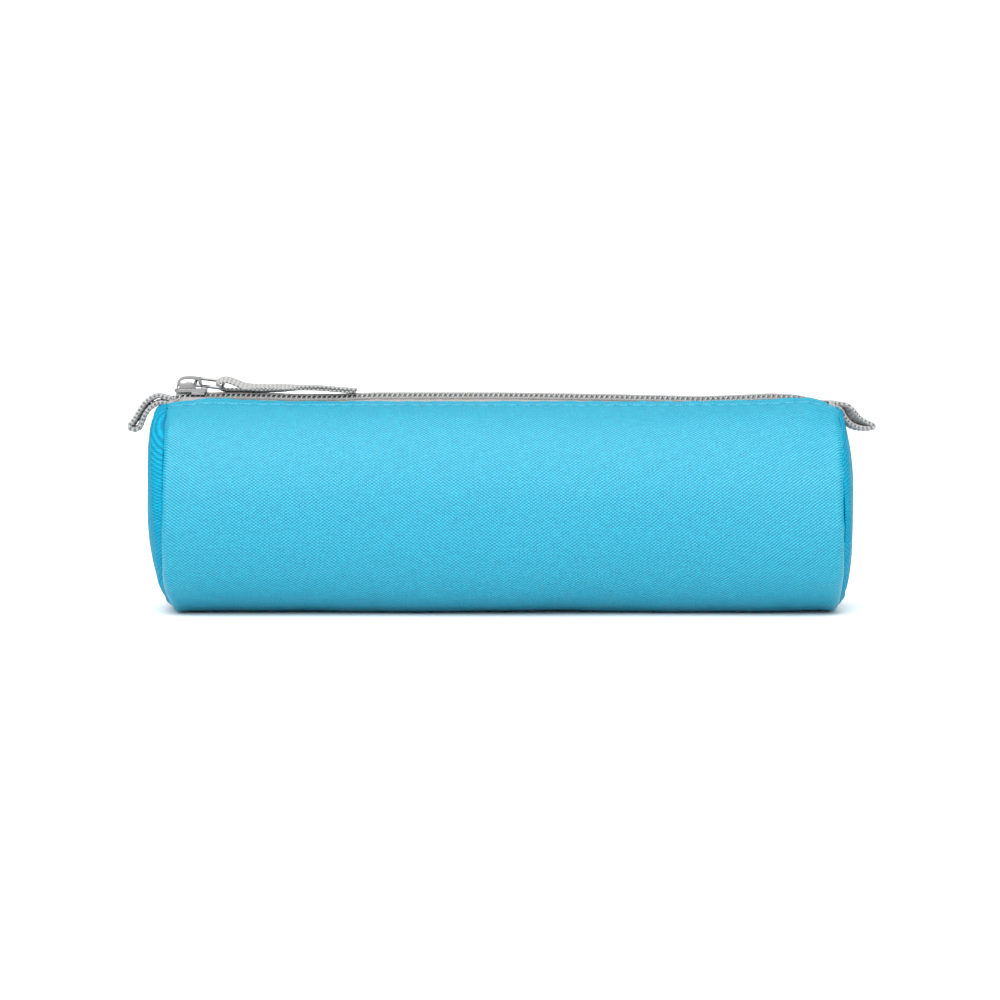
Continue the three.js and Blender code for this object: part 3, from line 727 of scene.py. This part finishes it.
def chain_drop(x):
    """The zip isn't straight: it sags between the places where it is held."""
    stops = [-101, -99.4, -97.5, -95, -86, -78, -70, -60, -50, -38, 0, 29, 45, 58, 70, 80, 88, 91, 94, 98,
             101]
    drop = [-2.6, -1.6, -0.6, -0.1, 0.0, 0.0, -0.2, -0.55, -0.5, 0.0, 0.0, -0.45, -0.8, -1.15, -0.75, -0.25,
            -0.7, -1.6, -2.3, -2.4, -2.6]
    return along_case(x, stops, drop, 2.0)


def spread_at(x):
    """How far the slider's wedge holds each coil from the centre line."""
    return SPREAD * smooth((SPREAD_START - x) / (SPREAD_START - SPREAD_END))


def make_tape(face, word):
    """A woven tape: level beside the coil, then down under the hem."""
    x = np.linspace(-HALF_LENGTH + 0.2, HALF_LENGTH + TAPE_PAST_SEAM, 240)
    across = np.linspace(0, 1, 9)
    under = np.array([0.3, 0.9, 1.8, 3.0, 4.5, 6.0, 7.6])
    start = TAPE_INNER + spread_at(x)
    flat_y = start[None, :] + (TAPE_BEND - start)[None, :] * across[:, None]
    hump = 0.85 * smooth((-80 - x) / 10)[None, :] * bump(across[:, None], 0.85, 0.4)
    ripple = 0.07 * waves(x / 6, face, 41)[None, :] * across[:, None]
    flat_z = TAPE_Z + chain_drop(x)[None, :] + hump + ripple - 0.25 * across[:, None] ** 4
    flat = np.stack([np.broadcast_to(x, flat_y.shape), face * flat_y, flat_z], axis=-1)
    grid_x, grid_arc = np.meshgrid(np.clip(x, -HALF_LENGTH + 0.3, HALF_LENGTH - 0.3), under)
    base = panel_middle(grid_x, grid_arc, face)
    below = base - outward_normals(base) * (FOLD + CLOTH / 2 + TAPE / 2 + 0.08)
    # Under the hem the tape stops short of the seam.
    below[..., 0] = x * (HALF_LENGTH - 1.3) / (HALF_LENGTH + TAPE_PAST_SEAM)
    middle = np.concatenate([flat, below])
    distance = np.concatenate([TAPE_INNER + (TAPE_BEND - TAPE_INNER) * across, TAPE_BEND + 0.7 + under])
    uv = np.stack(np.broadcast_arrays(x[None, :], distance[:, None]), axis=-1).astype(float)
    obj = cloth_solid(word + "_tape", middle, TAPE, uv, flip=face > 0)
    obj.data.materials.append(TAPE_MAT)
    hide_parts(word + "_zip_tape")
    bend_with_lip(obj, face)


def make_coil(face, word, shift):
    """One side of the zip: a flattened helix of nylon wire whose heads cross the centre line."""
    start, end = COIL_LOW[0], COIL_HIGH[0]
    turns = int((end - start - abs(shift)) / COIL_PITCH)
    theta = np.linspace(0, 2 * math.pi * turns, turns * 16 + 1)
    x = start + shift + COIL_PITCH * theta / (2 * math.pi)
    swing = rounded(np.cos(theta), 0.75)
    rise = rounded(np.sin(theta), 0.75)
    y = (COIL_BACK + COIL_HEAD) / 2 + (COIL_BACK - COIL_HEAD) / 2 * swing + spread_at(x)
    z = CHAIN_Z + chain_drop(x) + COIL_HALF_HEIGHT * rise
    radius = COIL_WIRE * (1 + 0.25 * np.clip(-swing - 0.7, 0, 1) / 0.3)  # the heads are pressed wider
    path = np.stack([x, face * y, z], axis=-1)
    obj = ring_solid(word + "_coil_wire", tube_rings(path, radius, 6))
    obj.data.materials.append(COIL_MAT)
    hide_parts(word + "_coil")
    bend_with_lip(obj, face)


# Each row of chain stitch: distance from the centre line, height over the coil's middle, its two swings.
CHAIN_STITCH_ROWS = ((1.75, COIL_HALF_HEIGHT + 0.3, 0.25, 0.08), (3.2, -0.42, 0.12, 0.24))


def make_coil_thread(face, word):
    """Chain stitch that holds a coil to its tape, over it and along its back, and the cord inside it."""
    x = np.arange(COIL_LOW[0], COIL_HIGH[0], 0.15)
    rings = []
    for distance, height, swing, lift in CHAIN_STITCH_ROWS:
        for phase in (0, math.pi):
            turn = 2 * math.pi * x / COIL_PITCH + phase
            y = distance + swing * np.sin(turn) + spread_at(x)
            z = CHAIN_Z + height + chain_drop(x) + lift * np.cos(turn)
            rings.append(tube_rings(np.stack([x, face * y, z], axis=-1), 0.19, 6))
    cord = np.stack([x, face * (1.5 + spread_at(x)), CHAIN_Z + chain_drop(x)], axis=-1)
    rings.append(tube_rings(cord, 0.24, 6))
    vertices = np.concatenate([r.reshape(-1, 3) for r in rings])
    faces = []
    start = 0
    for ring in rings:
        faces += grid_faces(ring.shape[0], 6, start, wrap=True)
        start += ring.shape[0] * 6
    obj = build(word + "_chain_stitch", vertices, faces)
    obj.data.materials.append(GREY_THREAD_MAT)
    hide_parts(word + "_coil_thread")
    bend_with_lip(obj, face)


def make_topstitch(face, word):
    """The row of stitches along a mouth edge, each diving into the cloth at its ends."""
    length = 0.72 * STITCH_PITCH
    paths = []
    for x0 in np.arange(-HALF_LENGTH + 2.5, HALF_LENGTH - 3, STITCH_PITCH):
        share = np.linspace(0, 1, 9)
        x = x0 + length * share
        arc = STITCH_DEPTH + 0.06 * np.sin(x * 1.7)
        line = panel_middle(x[None, :].repeat(3, 0), np.stack([arc - 0.1, arc, arc + 0.1]), face)
        normal = grid_normals(line)[1]
        normal *= np.sign(normal[:, 2:])
        lift = 0.30 - 0.5 * (2 * share - 1) ** 6
        paths.append(line[1] + normal * lift[:, None])
    obj = tubes(word + "_edge_stitches", paths, 0.24)
    obj.data.materials.append(BLUE_THREAD_MAT)
    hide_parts(word + "_topstitch")
    bend_with_lip(obj, face)


def make_tack(word):
    """A dense bar of thread across one end of the zip."""
    low, high = box_mm(word + "_zip_tack")
    paths = []
    for x0 in np.arange(low[0] - 0.1, high[0] + 0.15, 0.26):
        y = np.linspace(low[1] - 0.2, high[1] + 0.2, 21)
        height = CHAIN_Z + float(chain_drop(x0)) + 0.95
        edge = smooth((np.abs(y) - 2.4) / 1.8)
        z = height - 1.6 * edge + 0.06 * np.sin(y * 3 + x0 * 9)
        x = x0 + 0.12 * np.sin(y * 1.3 + x0 * 5)
        paths.append(np.stack([x, y, z], axis=-1))
    obj = tubes(word + "_end_tack", paths, 0.2)
    obj.data.materials.append(GREY_THREAD_MAT)
    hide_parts(word + "_zip_tack")
    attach(obj, "case")


for zip_face, zip_word, zip_shift in ((-1, "front", 0.0), (1, "rear", COIL_PITCH / 2)):
    make_tape(zip_face, zip_word)
    make_coil(zip_face, zip_word, zip_shift)
    make_coil_thread(zip_face, zip_word)
    make_topstitch(zip_face, zip_word)
for _, end_word in END_SIDES:
    make_tack(end_word)

# ---- The slider ----

PLATE_UNDER = 64.95
PLATE_TOP = 65.9
LOWER_PLATE_UNDER = 61.15
LOWER_PLATE_TOP = 61.9
CROWN_TOP = 69.75
CROWN_BAND = 1.05  # thickness of the bridge's band
CROWN_FOOT = PLATE_TOP - 0.1
CROWN_FLOOR = CROWN_FOOT + 1.75  # bottom of the window under the bridge
CROWN_POWER = 2 / 2.9  # squares off the arch
BRIDGE_MIDDLE = (BRIDGE_LOW[0] + BRIDGE_HIGH[0]) / 2
BRIDGE_HALF = (BRIDGE_HIGH[0] - BRIDGE_LOW[0]) / 2


def round_edges(obj, width):
    """Rounds a metal piece's edges."""
    bevel = obj.modifiers.new("edges", "BEVEL")
    bevel.width = width * M
    bevel.segments = 3
    bevel.limit_method = "ANGLE"
    bevel.angle_limit = math.radians(35)
    bevel.harden_normals = True


def prism(outline, low, high, axis):
    """Points and faces of a straight prism: outline in the other two axes, from low to high along axis."""
    others = [k for k in range(3) if k != axis]
    points = np.zeros((2, len(outline), 3))
    points[..., others] = np.asarray(outline, float)
    points[0, :, axis] = low
    points[1, :, axis] = high
    count = len(outline)
    faces = [tuple(reversed(range(count))), tuple(range(count, 2 * count))]
    faces += [(j, (j + 1) % count, count + (j + 1) % count, count + j) for j in range(count)]
    return points.reshape(-1, 3), faces


def solid_of(name, prisms, edge):
    """One metal piece from several prisms that run into each other, with its edges rounded."""
    points = []
    faces = []
    for prism_points, prism_faces in prisms:
        start = len(points)
        points.extend(prism_points.tolist())
        faces += [tuple(start + k for k in face) for face in prism_faces]
    obj = face_outwards(build(name, points, faces))
    obj.data.materials.append(NICKEL_MAT)
    round_edges(obj, edge)
    return obj


def plate_outline(nose_half, tail_half, grow=0.0):
    """A slider plate from above: two shoulders at the nose, waisted, straight at the tail."""
    nose, tail = SLIDER_LOW[0] - grow, SLIDER_HIGH[0] + grow
    side = [(nose, 0.0), (nose + 0.1, nose_half * 0.55), (nose + 0.7, nose_half * 0.86),
            (nose + 1.9, nose_half), (nose + 3.4, nose_half), (nose + 5.6, tail_half * 0.98),
            (tail - 1.0, tail_half), (tail - 0.2, tail_half * 0.9), (tail, tail_half * 0.55)]
    smooth_side = spline(side, 0.35)
    mirrored = smooth_side[::-1] * np.array([1, -1])
    return np.concatenate([smooth_side, mirrored[:-1]])


def make_plates():
    """The slider's two plates, the wedge between them and a flange down each side."""
    nose, tail = SLIDER_LOW[0], SLIDER_HIGH[0]
    wedge = [(nose + 0.5, -1.0), (nose + 2.4, -1.05), (nose + 4.3, -0.12), (nose + 4.3, 0.12),
             (nose + 2.4, 1.05), (nose + 0.5, 1.0)]
    prisms = [
        prism(plate_outline(4.55, 4.3), PLATE_UNDER, PLATE_TOP, 2),
        prism(plate_outline(3.7, 3.7, -0.3), LOWER_PLATE_UNDER, LOWER_PLATE_TOP, 2),
        prism(wedge, LOWER_PLATE_TOP - 0.1, PLATE_UNDER + 0.1, 2),
    ]
    for face in (-1, 1):
        outer = face * 4.25
        inner = face * 3.55
        strip = [(tail - 4.6, outer), (tail - 0.7, outer), (tail - 0.7, inner), (tail - 4.0, inner)]
        prisms.append(prism(strip, PLATE_UNDER - 0.75, PLATE_UNDER + 0.1, 2))
    body = solid_of("slider_plates", prisms, 0.22)
    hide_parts("slider_body")
    return body


def make_crown():
    """The bridge: an arched band over a block that closes the lower part of its window."""
    turn = np.linspace(math.pi, 0, 29)
    arch_x = rounded(np.cos(turn), CROWN_POWER)
    arch_z = np.abs(np.sin(turn)) ** CROWN_POWER
    inner_half = BRIDGE_HALF - CROWN_BAND
    inner_rise = CROWN_TOP - CROWN_BAND - CROWN_FLOOR
    outer_rise = CROWN_TOP - CROWN_FOOT
    outer = np.stack([BRIDGE_MIDDLE + BRIDGE_HALF * arch_x, CROWN_FOOT + outer_rise * arch_z], axis=-1)
    inner = np.stack([BRIDGE_MIDDLE + inner_half * arch_x, CROWN_FLOOR + inner_rise * arch_z], axis=-1)
    half_width = BRIDGE_HIGH[1]
    points = []
    for (out_x, out_z), (in_x, in_z) in zip(outer, inner):
        points += [(out_x, -half_width, out_z), (out_x, half_width, out_z)]
        points += [(in_x, half_width, in_z), (in_x, -half_width, in_z)]
    faces = grid_faces(len(outer), 4, 0, wrap=True)
    faces += [(3, 2, 1, 0), tuple(4 * (len(outer) - 1) + j for j in range(4))]
    block_left = BRIDGE_MIDDLE - inner_half - 0.3
    block_right = BRIDGE_MIDDLE + inner_half - 0.9
    block = [(block_left, CROWN_FOOT), (block_right, CROWN_FOOT), (block_right, CROWN_FLOOR),
             (block_left, CROWN_FLOOR)]
    prisms = [(np.array(points), faces), prism(block, -half_width - 0.25, half_width + 0.25, 1)]
    bridge = solid_of("slider_crown", prisms, 0.28)
    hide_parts("slider_bridge")
    return bridge


def make_spring():
    """The lock spring's flat end, which lies on the block under the bridge."""
    low, high = box_mm("slider_lock_spring")
    leaf = [(low[0] + 0.6, CROWN_FLOOR - 0.1), (high[0] - 0.3, CROWN_FLOOR - 0.1),
            (high[0] - 0.3, CROWN_FLOOR + 0.22), (low[0] + 1.2, CROWN_FLOOR + 0.3)]
    spring = solid_of("slider_spring", [prism(leaf, -0.8, 0.8, 1)], 0.1)
    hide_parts("slider_lock_spring")
    return spring


for slider_piece in (make_plates(), make_crown(), make_spring()):
    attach(slider_piece, "slider")

# ---- The link and the puller ----

ROLL = math.radians(10)  # the link and the root of the puller lie tilted to one side
LINK_BAR = np.array([-91.3, 0.0, 68.0])  # middle of the bar under the bridge
LINK_CROSSBAR = np.array([-83.2, 0.0, 67.05])  # middle of the bar that holds the puller
LINK_HALF_WIDTH = 4.85
LINK_CORNER = 1.5
LINK_SEAM = 2.0  # from the bar to the cut in the front arm
LINK_SLIT = 0.07
WIRE = 0.5  # radius of the wire
PULLER_WIDTH = 8.0
PULLER_THICK = 0.78


def make_link():
    """A rounded rectangle of wire whose cut ends meet on the front arm."""
    along = LINK_CROSSBAR - LINK_BAR
    length = np.linalg.norm(along)
    along = along / length
    up = np.cross(np.array([0, 1.0, 0]), -along)
    across = np.array([0, math.cos(ROLL), 0]) + up * math.sin(ROLL)
    half = LINK_HALF_WIDTH
    outline = [(LINK_SEAM + LINK_SLIT, -half), (length, -half), (length, half), (0, half), (0, -half),
               (LINK_SEAM - LINK_SLIT, -half)]
    flat = [outline[0]]
    for before, here, after in zip(outline, outline[1:], outline[2:]):
        here = np.array(here, float)
        to_before = np.array(before) - here
        to_after = np.array(after) - here
        a = here + to_before / np.linalg.norm(to_before) * LINK_CORNER
        b = here + to_after / np.linalg.norm(to_after) * LINK_CORNER
        for t in np.linspace(0, 1, 9):
            flat.append(tuple((1 - t) ** 2 * a + 2 * t * (1 - t) * here + t * t * b))
    flat.append(outline[-1])
    path = np.array([LINK_BAR + along * s + across * t for s, t in flat])
    radius = np.full(len(path), WIRE)
    radius[[0, -1]] *= 0.9
    obj = ring_solid("wire_link", tube_rings(path, radius, 20))
    obj.data.materials.append(NICKEL_MAT)
    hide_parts("pull_link")
    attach(obj, "link")


make_link()


def strap(name, line, width, thickness, roll, phase=0.0):
    """A woven webbing strap along a line. roll turns it about the line, in radians, at each point of it."""
    path = spline(np.column_stack([line, roll]), 0.2)
    roll = path[:, 3]
    path = path[:, :3]
    step = np.gradient(path, axis=0)
    tangent = step / np.linalg.norm(step, axis=1, keepdims=True)
    side = np.array([0.0, 1.0, 0.0]) - tangent * tangent[:, 1:2]
    side /= np.linalg.norm(side, axis=1, keepdims=True)
    normal = np.cross(tangent, side)
    side, normal = (side * np.cos(roll)[:, None] + normal * np.sin(roll)[:, None],
                    normal * np.cos(roll)[:, None] - side * np.sin(roll)[:, None])
    length = np.concatenate([[0], np.cumsum(np.linalg.norm(np.diff(path, axis=0), axis=1))])
    turn = np.linspace(0, 2 * math.pi, 40, endpoint=False)
    across = rounded(np.cos(turn), 0.55)
    out = rounded(np.sin(turn), 0.32)
    beat = np.cos(2 * math.pi * length / RIB + phase)[:, None]
    other = np.cos(2 * math.pi * length / RIB + phase + math.pi)[:, None]
    edge = np.abs(across)[None, :] ** 8
    ribs = np.where(np.sin(turn)[None, :] > 0, beat, other)
    yarns = np.cos(across * math.pi * 5.5)[None, :]
    hole = (np.abs(out) < 0.2)[None, :] * np.clip(-2.6 * beat - 0.9, 0, 1)
    half = width / 2 - 0.12 * (1 + other) * edge - 0.35 * hole
    thick = thickness / 2 * (1 - 0.16 * edge + 0.08 * ribs * (1 - 0.5 * edge) + 0.035 * yarns * ribs)
    wander = 0.12 * np.sin(length * 0.31 + width)[:, None]
    points = path[:, None] + side[:, None] * (across * half + wander)[..., None]
    points = points + normal[:, None] * (out * thick)[..., None]
    round_edge = np.abs(out) * thickness / 2 + (across + 1) * width / 2
    shifted = length + phase * RIB / (2 * math.pi)
    uv = np.stack(np.broadcast_arrays(shifted[:, None], round_edge[None, :]), axis=-1)
    obj = ring_solid(name, points, uv)
    obj.data.materials.append(WEBBING_MAT)
    return obj


def make_puller():
    """A strap folded round the link's crossbar and stitched to itself behind it, and those stitches."""
    lower = [(PULLER_END - 0.4, 65.05), (-48, 65.2), (-54.5, 65.72), (-60, 65.75), (-66, 65.55), (-72, 65.42),
             (-77, 65.42), (-80.6, 65.45), (-83.2, 65.75), (-84.7, 66.9), (-84.3, 68.05), (-82.8, 68.55)]
    upper = [(-81.0, 68.3), (-79.0, 67.55), (-76.6, 66.7), (-72, 66.28), (-66, 66.38), (-60, 66.55),
             (-54.5, 66.52), (-48, 65.95), (PULLER_END, 65.62)]
    line = np.array([(x, 0.0, z) for x, z in lower + upper])
    lean = ROLL * smooth((-56 - line[:, 0]) / 14)
    obj = strap("webbing_puller", line, PULLER_WIDTH, PULLER_THICK, lean)
    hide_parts("puller_webbing")
    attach(obj, "puller")
    low, high = box_mm("puller_bartack")
    paths = []
    for x0 in np.arange(low[0], high[0] + 0.1, 0.3):
        y = np.linspace(-3.2, 3.2, 15)
        z = 66.22 + 0.05 * np.sin(y * 4 + x0 * 8)
        z = z - 0.35 * smooth((np.abs(y) - 2.9) / 0.3)
        paths.append(np.stack([x0 + 0.1 * np.sin(y * 2 + x0), y, z + (low[0] - x0) * 0.07], axis=-1))
    tack = tubes("puller_stitches", paths, 0.16)
    tack.data.materials.append(GREY_THREAD_MAT)
    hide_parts("puller_bartack")
    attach(tack, "puller")


make_puller()

# ---- The end tabs ----

TAB_THICK = 1.6
TAB_WIDTH = 7.6
# Each tab's middle line: distance out from the seam, height, and how far it is rolled, in degrees.
LEFT_TAB = [(-1.5, 62.9, 0), (0.8, 63.4, 1), (2.6, 63.9, 2), (4.3, 63.4, 3), (6.5, 61.7, 4), (8.3, 59.1, 4),
            (9.9, 56.5, 4), (11.0, 55.1, 4), (10.9, 54.3, 3), (9.7, 54.0, 3), (8.6, 54.5, 4), (7.9, 55.9, 5),
            (7.2, 57.8, 5), (5.9, 59.8, 4), (4.2, 61.2, 3), (2.5, 61.9, 2), (0.8, 61.8, 1), (-1.5, 61.4, 0)]
RIGHT_TAB = [(-1.5, 61.6, 0), (0.6, 61.2, -8), (2.2, 60.3, -19), (3.1, 58.9, -29), (4.2, 57.4, -31),
             (5.8, 56.3, -23), (8.0, 55.6, -12), (9.7, 55.2, -6), (10.4, 54.8, -3), (9.5, 54.3, 0),
             (7.6, 54.1, 3), (5.4, 54.4, 6), (3.6, 55.2, 7), (2.3, 56.5, 6), (1.3, 58.1, 4), (0.6, 59.6, 2),
             (-0.4, 60.4, 0), (-1.5, 60.6, 0)]


def make_tab(side, word, places):
    """A strap folded back on itself and caught in the end seam, bent where it leaves the seam."""
    line = np.array([(side * (HALF_LENGTH + out), 0.0, z) for out, z, _ in places])
    roll = np.radians([degrees for _, _, degrees in places])
    obj = strap(word + "_webbing_tab", line, TAB_WIDTH, TAB_THICK, roll, phase=1.0)
    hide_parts(word + "_tab")
    root = side * (HALF_LENGTH - 0.3) * M
    tip = side * (HALF_LENGTH + 3.2) * M
    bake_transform(obj, "case", word + "_tab_body", start=(root, 0, 0.063), end=(tip, 0, 0.063))


make_tab(-1, "left", LEFT_TAB)
make_tab(1, "right", RIGHT_TAB)

# ---- Camera, floor and light ----

LENS = 150.0
SENSOR = 36.0
VIEW_WIDTH = 298.0
ELEVATION = math.radians(4.0)
TARGET = Vector((-0.9, 0.0, 32.7)) * M
WALL_LIGHT = 1.02
CEILING_LIGHT = 0.45
KEY_LIGHT = 2.8
FILL_LIGHT = 1.0
OVERHEAD_LIGHT = 1.4
FLOOR_HALF = 40.0  # metres


def make_camera():
    """A long lens a little above the table, square to the front of the case."""
    data = bpy.data.cameras.new("camera")
    data.lens = LENS
    data.sensor_width = SENSOR
    camera = bpy.data.objects.new("camera", data)
    bpy.context.scene.collection.objects.link(camera)
    back = Vector((0, -math.cos(ELEVATION), math.sin(ELEVATION)))
    camera.location = TARGET + back * (VIEW_WIDTH * M * LENS / SENSOR)
    camera.rotation_mode = "QUATERNION"
    camera.rotation_quaternion = (-back).to_track_quat("-Z", "Y")
    data.clip_end = 50
    bpy.context.scene.camera = camera


def soft_sun(name, azimuth, elevation, strength, spread):
    """A far, broad softbox: azimuth 0 is the front, and spread is its width in degrees."""
    data = bpy.data.lights.new(name, "SUN")
    data.energy = strength
    data.angle = math.radians(spread)
    light = bpy.data.objects.new(name, data)
    bpy.context.scene.collection.objects.link(light)
    az, el = math.radians(azimuth), math.radians(elevation)
    source = Vector((math.sin(az) * math.cos(el), -math.cos(az) * math.cos(el), math.sin(el)))
    light.location = source
    light.rotation_mode = "QUATERNION"
    light.rotation_quaternion = (-source).to_track_quat("-Z", "Y")


def studio_world():
    """White walls all round, and a dimmer ceiling."""
    world = bpy.data.worlds.new("studio")
    bpy.context.scene.world = world
    world.use_nodes = True
    tree = world.node_tree
    background = tree.nodes["Background"]
    coordinates = tree.nodes.new("ShaderNodeTexCoord")
    separate = tree.nodes.new("ShaderNodeSeparateXYZ")
    ramp = tree.nodes.new("ShaderNodeMapRange")
    ramp.interpolation_type = "SMOOTHSTEP"
    ramp.inputs["From Min"].default_value = 0.18
    ramp.inputs["From Max"].default_value = 0.42
    ramp.inputs["To Min"].default_value = WALL_LIGHT
    ramp.inputs["To Max"].default_value = CEILING_LIGHT
    tree.links.new(coordinates.outputs["Generated"], separate.inputs[0])
    tree.links.new(separate.outputs["Z"], ramp.inputs["Value"])
    tree.links.new(ramp.outputs["Result"], background.inputs["Strength"])
    background.inputs["Color"].default_value = (1, 1, 1, 1)


def make_stage():
    """The pale floor, the studio round it and its three soft lights."""
    corners = np.array([[-1, -1, 0], [1, -1, 0], [1, 1, 0], [-1, 1, 0]]) * FLOOR_HALF / M
    floor = build("floor", corners, [(0, 1, 2, 3)], smooth_shading=False)
    n = Nodes("pale_floor")
    floor.data.materials.append(n.finish(Base_Color=rgb(0.96, 0.96, 0.96), Roughness=0.95,
                                         Specular_IOR_Level=0.0))
    studio_world()
    soft_sun("key", -10, 52, KEY_LIGHT, 60)
    soft_sun("fill", 0, 4, FILL_LIGHT, 100)
    soft_sun("overhead", 0, 88, OVERHEAD_LIGHT, 70)
    bpy.context.scene.view_settings.view_transform = "Standard"


make_camera()
make_stage()
